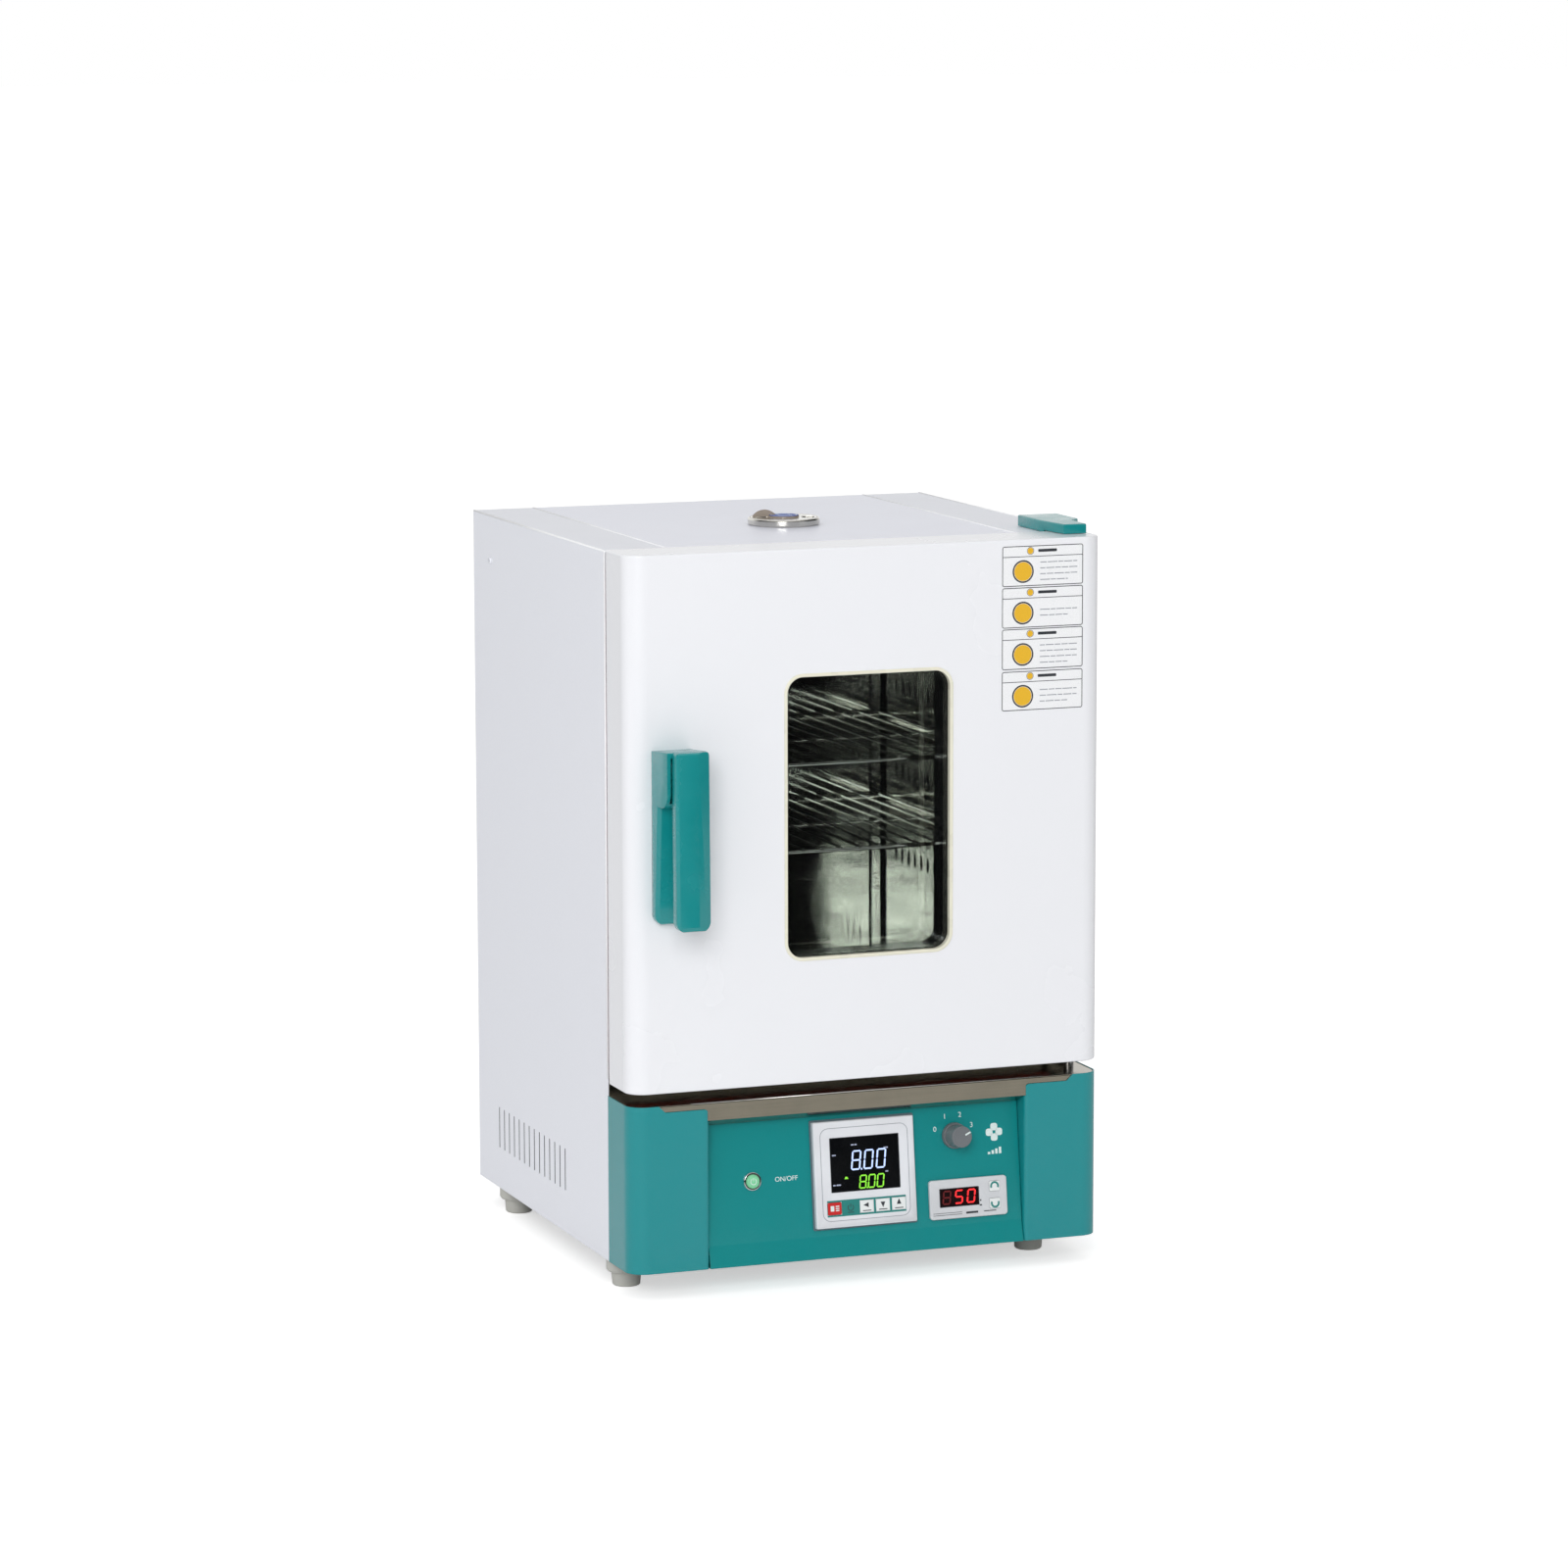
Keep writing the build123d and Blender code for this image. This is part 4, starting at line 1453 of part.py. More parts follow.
# Screws of the side panels, the back panel, the rear cover and the power inlet
side_screw_z = roof_z - SIDE_SCREW_DROP
with BuildPart() as cabinet_screws:
    for side in (-1, 1):
        side_place = (side * half_width, back_y - SIDE_SCREW_FROM_REAR, side_screw_z)
        screw_head(side_place, (side, 0, 0))
        for level in range(BACK_SCREW_ROWS):
            rise = BACK_SCREW_INSET + level * (CABINET_HEIGHT - 2 * BACK_SCREW_INSET) / (BACK_SCREW_ROWS - 1)
            screw_head((side * (inside_half - RETURN_WIDTH / 2), back_y, base_z + rise), (0, 1, 0))
        for lift in (-1, 1):
            corner = COVER_SIZE / 2 - 2 * COVER_CORNER
            screw_head((side * corner, cover_back, fan_z + lift * corner), (0, 1, 0))
        inlet_screw = inlet_x + side * (INLET_FLANGE_WIDTH / 2 - 5.5)
        screw_head((inlet_screw, back_y + INLET_FLANGE, inlet_z), (0, 1, 0))

pieces = {
    "side_panel_left": side_panel_left,
    "side_panel_right": side_panel_right,
    "roof_panel": roof_panel,
    "back_panel": back_panel,
    "base_pan": base_pan,
    "feet": feet,
    "front_frame": front_frame,
    "cheek_left": cheek_left,
    "cheek_right": cheek_right,
    "control_panel": control_panel,
    "chamber_liner": chamber_liner,
    "side_ducts": side_ducts,
    "rear_baffle": rear_baffle,
    "cabinet_insulation": cabinet_insulation,
    "shelf_rails": shelf_rails,
    "heater_element": heater_element,
    "temperature_probes": temperature_probes,
    "fan_motor": fan_motor,
    "fan_shaft": fan_shaft,
    "fan_wheel": fan_wheel,
    "rear_cover": rear_cover,
    "power_inlet": power_inlet,
    "solid_state_relay": solid_state_relay,
    "terminal_block": terminal_block,
    "wiring_loom": wiring_loom,
    "cabinet_screws": cabinet_screws,
    "catch_box": catch_box,
    "hinge_brackets": hinge_brackets,
    "hinge_cap": hinge_cap,
    "vent_flange": vent_flange,
    "vent_damper": vent_damper,
    "door_shell": door_shell,
    "door_inner_panel": door_inner_panel,
    "door_insulation": door_insulation,
    "window_trim": window_trim,
    "window_panes": window_panes,
    "window_reveal": window_reveal,
    "door_gasket": door_gasket,
    "hinge_bushes": hinge_bushes,
    "handle_base": handle_base,
    "handle_pin": handle_pin,
    "handle_lever": handle_lever,
    "latch_tongue": latch_tongue,
    "controller_case": controller_case,
    "controller_display": controller_display,
    "limiter_case": limiter_case,
    "limiter_display": limiter_display,
    "selector_knob": selector_knob,
    "selector_switch": selector_switch,
    "power_button_ring": power_button_ring,
    "power_button_cap": power_button_cap,
}
pieces.update(shelves)
pieces.update(keys)

os.makedirs("parts", exist_ok=True)
for label, piece in pieces.items():
    piece.part.label = label
    export_step(piece.part, f"parts/{label}.step")
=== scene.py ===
"""Looks of the bench incubator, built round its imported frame. Metres, front face towards -Y, +Z up."""
import math

import bmesh
import bpy
import numpy as np
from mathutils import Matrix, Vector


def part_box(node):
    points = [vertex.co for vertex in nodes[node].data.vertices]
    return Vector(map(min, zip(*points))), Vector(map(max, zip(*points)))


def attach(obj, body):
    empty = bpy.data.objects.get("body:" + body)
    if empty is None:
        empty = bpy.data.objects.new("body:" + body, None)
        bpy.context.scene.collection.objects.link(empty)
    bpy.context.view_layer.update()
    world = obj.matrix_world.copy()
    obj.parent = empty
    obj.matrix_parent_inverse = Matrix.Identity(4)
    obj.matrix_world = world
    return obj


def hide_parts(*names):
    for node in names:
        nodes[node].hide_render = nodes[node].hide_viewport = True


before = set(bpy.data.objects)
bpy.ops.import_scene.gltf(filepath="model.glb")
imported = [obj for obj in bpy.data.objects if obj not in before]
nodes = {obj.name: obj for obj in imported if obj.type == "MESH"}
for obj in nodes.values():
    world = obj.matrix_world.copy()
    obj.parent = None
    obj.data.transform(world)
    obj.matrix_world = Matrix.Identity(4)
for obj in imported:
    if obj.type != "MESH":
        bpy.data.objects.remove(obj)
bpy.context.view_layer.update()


# Places on the object: the door's face, the tilted panel and what stands on it

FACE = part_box("door_shell")[0][1]
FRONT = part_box("front_frame")[0][1]
CAP_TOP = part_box("vent_damper")[0][2] + 0.0025
FOLD_Y = FACE + 0.005
FOLD_Z = 0.0432
TILT = math.radians(7)
PANEL_OUT = np.array([0.0, -math.cos(TILT), math.sin(TILT)])
PANEL_UP = np.array([0.0, math.sin(TILT), math.cos(TILT)])

BEZEL_FACE = 0.006
LIMITER_FACE = 0.004
WINDOW_DEPTH = 0.0006
RIM_FOOT = 0.0002
CONTROLLER_KEY = 0.0006
LIMITER_KEY = 0.0005
CAP_FACE = 0.0042
KNOB_SLOT = 0.0196

CONTROLLER = (-0.0012, 0.0551)
DISPLAY = (-0.0012, 0.0634)
LIMITER = (0.0981, 0.024)
LIMITER_WINDOW = (0.0891, 0.0254)
LIMITER_KEYS_X = 0.1235
KNOB = np.array([0.0879, 0.0808])
BUTTON = (-0.107, 0.0548)
FAN_SIGN = np.array([0.1271, 0.081])
KEY_RISE = 0.0247
KEY_HALF = 0.0058
KEY_GAP = 0.0003
STRIP_HALF = (0.0378, 0.0073)

PRINT = 0.00012
OVERPRINT = 0.00018
GLOW = 0.0003


# Shader building

def paint_value(red, green, blue):
    """Linear colour of a paint chip given as 0 to 255 screen values, by the screen's gamma curve."""
    chip = np.array([red, green, blue]) / 255.0
    linear = np.where(chip <= 0.04045, chip / 12.92, ((chip + 0.055) / 1.055) ** 2.4)
    return (*linear.tolist(), 1.0)


def paler(colour, share, lift):
    """A colour taken to a share of itself plus a lift, each part held at one."""
    return tuple(min(1.0, share * part + lift) for part in colour[:3]) + (1.0,)


def fill(tree, node, **sockets):
    """Links or sets a node's inputs, which are given by name, or by number after an i."""
    for key, value in sockets.items():
        numbered = key[0] == "i" and key[1:].isdigit()
        socket = node.inputs[int(key[1:]) if numbered else key.replace("_", " ")]
        if isinstance(value, bpy.types.NodeSocket):
            tree.links.new(value, socket)
        else:
            socket.default_value = value
    return node


def put(tree, kind, settings=None, **sockets):
    """Adds a node to a tree, with its properties and inputs."""
    made = tree.nodes.new(kind)
    for key, value in (settings or {}).items():
        setattr(made, key, value)
    return fill(tree, made, **sockets)


def only(tree, kind):
    """The tree's one node of a kind."""
    return next(node for node in tree.nodes if node.bl_idname == kind)


def shader_group(name, inputs, outputs):
    """An empty node group with named sockets: inputs give (name, kind, value), outputs give (name, kind)."""
    tree = bpy.data.node_groups.new(name, "ShaderNodeTree")
    for label, kind, value in inputs:
        made = tree.interface.new_socket(label, in_out="INPUT", socket_type="NodeSocket" + kind)
        made.default_value = value
    for label, kind in outputs:
        tree.interface.new_socket(label, in_out="OUTPUT", socket_type="NodeSocket" + kind)
    return tree, tree.nodes.new("NodeGroupInput").outputs, tree.nodes.new("NodeGroupOutput")


def math_node(tree, operation, first, second=0.0, clamp=False):
    """The result of one sum on one or two values."""
    made = put(tree, "ShaderNodeMath", {"operation": operation, "use_clamp": clamp}, i0=first, i1=second)
    return made.outputs[0]


def times(tree, first, second, clamp=False):
    """The product of two values."""
    return math_node(tree, "MULTIPLY", first, second, clamp)


def remap(tree, value, low, high, new_low, new_high):
    """A value stretched in a straight line from one range to another and held inside it."""
    made = put(tree, "ShaderNodeMapRange", i0=value, i1=low, i2=high, i3=new_low, i4=new_high)
    return made.outputs[0]


def within(tree, value, low, high):
    """One between two limits and nought outside them."""
    above = math_node(tree, "GREATER_THAN", value, low)
    return times(tree, above, math_node(tree, "LESS_THAN", value, high))


def blend_colour(tree, factor, first, second):
    """A colour part of the way from the first to the second."""
    made = put(tree, "ShaderNodeMix", {"data_type": "RGBA"}, i0=factor, i6=first, i7=second)
    return made.outputs[2]


def blend_value(tree, factor, first, second):
    """A number part of the way from the first to the second."""
    return put(tree, "ShaderNodeMix", i0=factor, i2=first, i3=second).outputs[0]


def shaded(tree, colour, level):
    """A colour times a level."""
    made = put(tree, "ShaderNodeVectorMath", {"operation": "SCALE"}, i0=colour, Scale=level)
    return made.outputs[0]


def object_place(tree):
    """The point's place in the object's own frame."""
    return tree.nodes.new("ShaderNodeTexCoord").outputs["Object"]


def three_parts(tree, vector):
    """A vector's X, Y and Z."""
    return put(tree, "ShaderNodeSeparateXYZ", i0=vector).outputs


def grain_noise(tree, where, scale, detail, roughness):
    """Noise at a scale given as blotches per metre."""
    made = put(tree, "ShaderNodeTexNoise", Vector=where, Scale=scale, Detail=detail, Roughness=roughness)
    return made.outputs[0]


def cloud(tree, where, size, detail=2.0, roughness=0.5):
    """Noise with blotches of about the given size in metres."""
    return grain_noise(tree, where, 1.0 / size, detail, roughness)


def build_edge_group():
    """Worn and highlighted edges: how far the rounded normal turns away from the flat one, broken up by
    noise; the mask marks edges for wear and for painted highlight.
    """
    tree, given, out = shader_group(
        "Worn edges with painted highlight",
        [("Width", "Float", 0.0006), ("Amount", "Float", 0.5)],
        [("Mask", "Float"), ("Normal", "Vector")],
    )
    flat = tree.nodes.new("ShaderNodeNewGeometry").outputs["True Normal"]
    round_edge = put(tree, "ShaderNodeBevel", {"samples": 4}, Radius=given["Width"]).outputs[0]
    alike = put(tree, "ShaderNodeVectorMath", {"operation": "DOT_PRODUCT"}, i0=flat, i1=round_edge)
    turned = remap(tree, alike.outputs["Value"], 0.99, 0.8, 0.0, 1.0)
    broken = remap(tree, cloud(tree, object_place(tree), 0.004, 4.0), 0.42, 0.62, 0.0, 1.0)
    mask = times(tree, times(tree, turned, broken), given["Amount"], True)
    fill(tree, out, Mask=mask, Normal=round_edge)
    return tree


def build_dust_group():
    """Dust film: thicker on faces that look up, in soft patches, and a faint greying over the lowest 12
    centimetres.
    """
    tree, given, out = shader_group(
        "Dust film",
        [("Colour", "Color", (1, 1, 1, 1)), ("Amount", "Float", 0.1)],
        [("Colour", "Color"), ("Mask", "Float")],
    )
    place = object_place(tree)
    facing = three_parts(tree, tree.nodes.new("ShaderNodeNewGeometry").outputs["Normal"])
    up = remap(tree, facing[2], 0.2, 1.0, 0.25, 1.0)
    low = remap(tree, three_parts(tree, place)[2], 0.12, 0.0, 0.0, 0.9)
    patches = remap(tree, cloud(tree, place, 0.05, 5.0, 0.6), 0.35, 0.7, 0.2, 1.0)
    film = times(tree, math_node(tree, "MAXIMUM", up, low), patches)
    mask = times(tree, film, given["Amount"], True)
    fill(tree, out, Colour=blend_colour(tree, mask, given["Colour"], paint_value(186, 182, 172)), Mask=mask)
    return tree


def build_paint_group():
    """Powder coat: small round pebbles over slow waves, with gloss that drifts across the sheet."""
    tree, given, out = shader_group(
        "Powder coat",
        [("Colour", "Color", (1, 1, 1, 1)), ("Pebble", "Float", 0.001), ("Relief", "Float", 0.5),
         ("Roughness", "Float", 0.35), ("Speckle", "Float", 0.02)],
        [("Colour", "Color"), ("Roughness", "Float"), ("Height", "Float")],
    )
    place = object_place(tree)
    pebble = grain_noise(tree, place, math_node(tree, "DIVIDE", 1.0, given["Pebble"]), 2.0, 0.45)
    wave = times(tree, cloud(tree, place, 0.045, 2.0), 0.02)
    drift = remap(tree, cloud(tree, place, 0.12, 3.0), 0.25, 0.75, -0.015, 0.02)
    height = math_node(tree, "ADD", times(tree, pebble, given["Relief"]), wave)
    shade = times(tree, remap(tree, pebble, 0.3, 0.7, -1.0, 1.0), given["Speckle"])
    tinted = shaded(tree, given["Colour"], math_node(tree, "ADD", 1.0, shade))
    rough = math_node(tree, "ADD", given["Roughness"], drift)
    fill(tree, out, Height=height, Roughness=rough, Colour=tinted)
    return tree


def build_sheet_group():
    """Rolled sheet: fine grain drawn out along one direction, slow buckles, and wiped smears in the gloss."""
    tree, given, out = shader_group(
        "Rolled sheet",
        [("Colour", "Color", (0.7, 0.7, 0.7, 1)), ("Grain", "Vector", (1, 1, 1)),
         ("Roughness", "Float", 0.15), ("Grain Depth", "Float", 0.2), ("Buckle", "Float", 1.0)],
        [("Colour", "Color"), ("Roughness", "Float"), ("Height", "Float")],
    )
    place = object_place(tree)
    drawn = put(tree, "ShaderNodeVectorMath", {"operation": "MULTIPLY"}, i0=place, i1=given["Grain"])
    grain = grain_noise(tree, drawn.outputs[0], 1.0, 3.0, 0.6)
    buckle = cloud(tree, place, 0.11, 1.0)
    smear = cloud(tree, place, 0.035, 5.0, 0.6)
    fine, slow = times(tree, grain, given["Grain Depth"]), times(tree, buckle, given["Buckle"])
    height = math_node(tree, "ADD", fine, slow)
    rough = math_node(tree, "ADD", given["Roughness"], remap(tree, smear, 0.35, 0.75, -0.03, 0.08))
    tinted = shaded(tree, given["Colour"], remap(tree, grain, 0.3, 0.7, 0.94, 1.04))
    fill(tree, out, Height=height, Roughness=math_node(tree, "MAXIMUM", rough, 0.02), Colour=tinted)
    return tree


def build_moulding_group():
    """Moulded plastic: spark-eroded grain, faint flow marks, and a touch of rubbed gloss."""
    tree, given, out = shader_group(
        "Moulded grain",
        [("Colour", "Color", (0.5, 0.5, 0.5, 1)), ("Grain", "Float", 0.0006), ("Roughness", "Float", 0.4),
         ("Depth", "Float", 0.4)],
        [("Colour", "Color"), ("Roughness", "Float"), ("Height", "Float")],
    )
    place = object_place(tree)
    grain = grain_noise(tree, place, math_node(tree, "DIVIDE", 1.0, given["Grain"]), 3.0, 0.6)
    flow = cloud(tree, place, 0.03, 3.0)
    rough = math_node(tree, "ADD", given["Roughness"], remap(tree, flow, 0.35, 0.7, -0.06, 0.08))
    tinted = shaded(tree, given["Colour"], remap(tree, flow, 0.3, 0.7, 0.96, 1.03))
    fill(tree, out, Height=times(tree, grain, given["Depth"]), Roughness=rough, Colour=tinted)
    return tree


EDGE = build_edge_group()
DUST = build_dust_group()
POWDER = build_paint_group()
SHEET = build_sheet_group()
MOULDED = build_moulding_group()


# Materials

def start_material(name):
    """An empty node material, its tree and its shader."""
    made = bpy.data.materials.new(name)
    made.use_nodes = True
    tree = made.node_tree
    tree.nodes.clear()
    shader = tree.nodes.new("ShaderNodeBsdfPrincipled")
    end = tree.nodes.new("ShaderNodeOutputMaterial")
    tree.links.new(shader.outputs[0], end.inputs[0])
    return made, tree, shader


def use_group(tree, group, **values):
    """A node group placed in a material with its own values."""
    made = put(tree, "ShaderNodeGroup", {"node_tree": group}, **values)
    return made.outputs


def finish_surface(tree, shader, skin, relief, edge, dust):
    """Joins a skin's colour, gloss and relief to the shader, with rounded edges that carry wear and painted
    highlight, and a dust film. relief gives the bump's height and strength, edge gives the edges' width, the
    amount of wear and painted highlight, and their colour."""
    width, amount, worn_and_lit_colour = edge
    # Edge tint for wear, and for painted highlight along the edges.
    worn_lit_edge = use_group(tree, EDGE, Width=width, Amount=amount)
    worn_and_lit = blend_colour(tree, worn_lit_edge["Mask"], skin["Colour"], worn_and_lit_colour)
    film = use_group(tree, DUST, Colour=worn_and_lit, Amount=dust)
    rough = math_node(tree, "ADD", skin["Roughness"], times(tree, film["Mask"], 0.5), True)
    height, strength = relief
    bump = put(
        tree, "ShaderNodeBump", Strength=strength, Distance=height, Height=skin["Height"],
        Normal=worn_lit_edge["Normal"],
    )
    fill(tree, shader, Base_Color=film["Colour"], Roughness=rough, Normal=bump.outputs[0])


def painted(name, chip, pebble, relief, roughness, coat=0.0, speckle=0.02, dust=0.06, edge=0.0008, wear_and_highlight=0.25):
    """Painted sheet metal."""
    made, tree, shader = start_material(name)
    colour = paint_value(*chip)
    skin = use_group(
        tree, POWDER, Colour=colour, Pebble=pebble, Relief=relief, Roughness=roughness, Speckle=speckle
    )
    fill(tree, shader, Coat_Weight=coat, Coat_Roughness=0.22)
    # Edge tint: the paler edge colour is wear and also painted highlight along the edges, strongest on the
    # roof and side panels.
    finish_surface(tree, shader, skin, (0.00012, 0.35), (edge, wear_and_highlight, paler(colour, 0.6, 0.38)), dust)
    return made


def bright_metal(name, chip, grain, roughness, depth=0.2, buckle=1.0, height=0.0002, dust=0.02, edge=0.0004):
    """Bare metal, drawn or polished."""
    made, tree, shader = start_material(name)
    colour = paint_value(*chip)
    skin = use_group(
        tree, SHEET, Colour=colour, Grain=grain, Roughness=roughness, Grain_Depth=depth, Buckle=buckle
    )
    shader.inputs["Metallic"].default_value = 1.0
    finish_surface(tree, shader, skin, (height, 0.3), (edge, 0.3, paler(colour, 1.1, 0.0)), dust)
    return made


def moulded(name, chip, roughness, grain=0.0006, depth=0.4, coat=0.0, dust=0.05, edge=0.0006, strength=0.25):
    """Moulded plastic or rubber."""
    made, tree, shader = start_material(name)
    colour = paint_value(*chip)
    skin = use_group(tree, MOULDED, Colour=colour, Grain=grain, Roughness=roughness, Depth=depth)
    fill(tree, shader, Coat_Weight=coat, Coat_Roughness=0.1)
    finish_surface(tree, shader, skin, (0.00008, strength), (edge, 0.3, paler(colour, 0.75, 0.1)), dust)
    return made


def lit_ink(name, chip, glow):
    """Glowing display ink, a little uneven across each stroke."""
    made, tree, shader = start_material(name)
    uneven = remap(tree, cloud(tree, object_place(tree), 0.0015, 2.0), 0.3, 0.7, 0.82, 1.0)
    shade = shaded(tree, paint_value(*chip)[:3], uneven)
    fill(tree, shader, Base_Color=shade, Emission_Color=shade, Emission_Strength=glow, Roughness=0.4)
    return made


def printed_ink(name, chip, roughness=0.5, shine=0.5):
    """Screen-printed ink, thin at its edges and slightly mottled."""
    made, tree, shader = start_material(name)
    place = object_place(tree)
    mottle = remap(tree, cloud(tree, place, 0.0008, 3.0), 0.3, 0.7, 0.9, 1.05)
    shade = shaded(tree, paint_value(*chip)[:3], mottle)
    gloss = remap(tree, cloud(tree, place, 0.003, 2.0), 0.3, 0.7, roughness - 0.08, roughness + 0.08)
    fill(tree, shader, Base_Color=shade, Roughness=gloss, Specular_IOR_Level=shine)
    return made


def window_glass(name, tint):
    """Clear pane: glass for what is seen, open for the light that passes through it."""
    made, tree, shader = start_material(name)
    smear = remap(tree, cloud(tree, object_place(tree), 0.03, 4.0, 0.6), 0.45, 0.8, 0.0, 0.04)
    fill(
        tree, shader, Roughness=smear, Base_Color=tint, Transmission_Weight=1.0, IOR=1.5,
        Specular_IOR_Level=0.08,
    )
    path = tree.nodes.new("ShaderNodeLightPath").outputs
    passes = math_node(tree, "MAXIMUM", path["Is Shadow Ray"], path["Is Diffuse Ray"])
    clear = put(tree, "ShaderNodeBsdfTransparent", Color=tint)
    mixed = put(tree, "ShaderNodeMixShader", i0=passes, i1=shader.outputs[0], i2=clear.outputs[0])
    tree.links.new(mixed.outputs[0], only(tree, "ShaderNodeOutputMaterial").inputs[0])
    return made


def recolour(tree, shader, mask, chip):
    """Another colour where a mask is one."""
    bare = shader.inputs["Base Color"].links[0].from_socket
    fill(tree, shader, Base_Color=blend_colour(tree, mask, bare, paint_value(*chip)))


def dulled(tree, shader, mask, chip, roughness):
    """A matt coat of another colour over bare metal where a mask is one."""
    recolour(tree, shader, mask, chip)
    rough = blend_value(tree, mask, shader.inputs["Roughness"].links[0].from_socket, roughness)
    fill(tree, shader, Metallic=math_node(tree, "SUBTRACT", 1.0, mask), Roughness=rough)


def shade_painted_slots(made, depth, height):
    """Painted shade in a painted sheet's slots: faces along Y inside a band of depth and height are made dark
    grey.
    """
    tree = made.node_tree
    place = three_parts(tree, object_place(tree))
    facing = three_parts(tree, tree.nodes.new("ShaderNodeNewGeometry").outputs["True Normal"])
    band = times(tree, within(tree, place[1], *depth), within(tree, place[2], *height))
    across = math_node(tree, "LESS_THAN", math_node(tree, "ABSOLUTE", facing[0]), 0.5)
    # Painted shade: the slot walls are dark grey, standing in for the shade inside the slots.
    recolour(tree, only(tree, "ShaderNodeBsdfPrincipled"), times(tree, band, across), (84, 88, 92))
    return made


def uprights_painted_highlight(made, reach, foot):
    """White paint on the steel frame's uprights, past a distance from the middle and above a height: a
    painted highlight that keeps the door gap light.
    """
    tree = made.node_tree
    place = three_parts(tree, object_place(tree))
    aside = math_node(tree, "GREATER_THAN", math_node(tree, "ABSOLUTE", place[0]), reach)
    mask = times(tree, aside, math_node(tree, "GREATER_THAN", place[2], foot))
    # Painted highlight: white instead of the dark reflection the steel shows in the gap beside the door.
    dulled(tree, only(tree, "ShaderNodeBsdfPrincipled"), mask, (236, 238, 242), 0.4)
    return made


def tab_painted_reflection(made, foot):
    """The vent's raised tab above a height: a matt brownish grey painted over the metal, a painted reflection
    of the darker room in front.
    """
    tree = made.node_tree
    mask = math_node(tree, "GREATER_THAN", three_parts(tree, object_place(tree))[2], foot)
    # Painted reflection: the tab's brownish grey stands in for the dark room it reflects.
    dulled(tree, only(tree, "ShaderNodeBsdfPrincipled"), mask, (150, 138, 126), 0.55)
    return made


SLOT_DEPTHS = (-0.03, 0.19)
SLOT_HEIGHTS = (0.055, 0.11)
UPRIGHT_REACH = 0.2
UPRIGHT_FOOT = 0.19
TAB_FOOT = 0.667

# The side coat tints its edges strongly: painted highlight lines along the sheet edges, as well as wear.
side_coat = {
    "chip": (238, 240, 247), "pebble": 0.0012, "relief": 0.7, "roughness": 0.42, "speckle": 0.012,
    "dust": 0.03, "wear_and_highlight": 0.8, "edge": 0.0012,
}
teal_coat = {"pebble": 0.0012, "relief": 0.6, "coat": 0.15, "speckle": 0.02, "dust": 0.02}
drawn_steel = {
    "chip": (150, 144, 129), "grain": (12, 600, 600), "roughness": 0.12, "depth": 0.06, "buckle": 1.2,
    "height": 0.0003, "dust": 0.02,
}
spun_steel = {"grain": (300, 300, 300), "buckle": 0.3, "dust": 0.0, "edge": 0.0005}
small_key = {"dust": 0.02, "edge": 0.0004}
display_pane = {"roughness": 0.08, "depth": 0.05, "coat": 0.6, "dust": 0.02, "strength": 0.08}

DOOR_WHITE = painted(
    "Door white paint", (240, 241, 245), 0.0011, 0.5, 0.26, coat=0.25, speckle=0.006, dust=0.02
)
SIDE_WHITE = painted("Side white paint", **side_coat)
# Side panels with painted shade in their slots.
SLOTTED_SIDE = shade_painted_slots(painted("Slotted side paint", **side_coat), SLOT_DEPTHS, SLOT_HEIGHTS)
# The roof coat tints its edges strongly: painted highlight lines along its edges, as well as wear.
ROOF_WHITE = painted(
    "Roof white paint", (238, 240, 250), 0.0013, 1.6, 0.36, speckle=0.02, dust=0.03, wear_and_highlight=0.8, edge=0.0012
)
# Brighter white than the cabinet's paint, for the painted highlight beads.
HIGHLIGHT_BEAD_WHITE = painted("Highlight bead white", (252, 253, 255), 0.0012, 0.3, 0.3, speckle=0.004, dust=0.0)
TEAL_SIDE = painted("Teal cheek paint", (8, 140, 145), roughness=0.24, **teal_coat)
TEAL_PANEL = painted("Teal panel paint", (8, 138, 139), roughness=0.22, **teal_coat)

GALVANISED = bright_metal("Galvanised sheet", (168, 171, 174), (70, 70, 70), 0.38, 1.0, 0.2, dust=0.15)
MIRROR = bright_metal("Mirror stainless", (186, 186, 180), (8, 8, 500), 0.06, 0.03, 2.2, 0.0006, dust=0.0)
LEDGE = bright_metal("Ledge stainless", **drawn_steel)
# The frame's uprights carry a painted highlight in white.
FRAME_STEEL = uprights_painted_highlight(
    bright_metal("Front frame stainless", **drawn_steel), UPRIGHT_REACH, UPRIGHT_FOOT
)
WIRE = bright_metal(
    "Polished wire", (220, 218, 212), (300, 20, 300), 0.12, 0.1, 0.0, dust=0.0, edge=0.0002
)
CHROME = bright_metal("Spun chrome", (225, 225, 226), roughness=0.05, depth=0.02, **spun_steel)
# The vent's tab carries a painted reflection.
VENT_BRIGHT = tab_painted_reflection(
    bright_metal("Vent stainless", (214, 212, 206), roughness=0.16, depth=0.04, **spun_steel), TAB_FOOT
)
STEEL = bright_metal("Turned steel", (190, 190, 190), (200, 200, 900), 0.28, 0.2, 0.0)
BRASS = bright_metal("Turned brass", (200, 168, 96), (200, 200, 900), 0.3, 0.2, 0.0)
ALUMINIUM = bright_metal("Cast aluminium", (186, 188, 192), (260, 260, 260), 0.42, 0.8, 0.0)

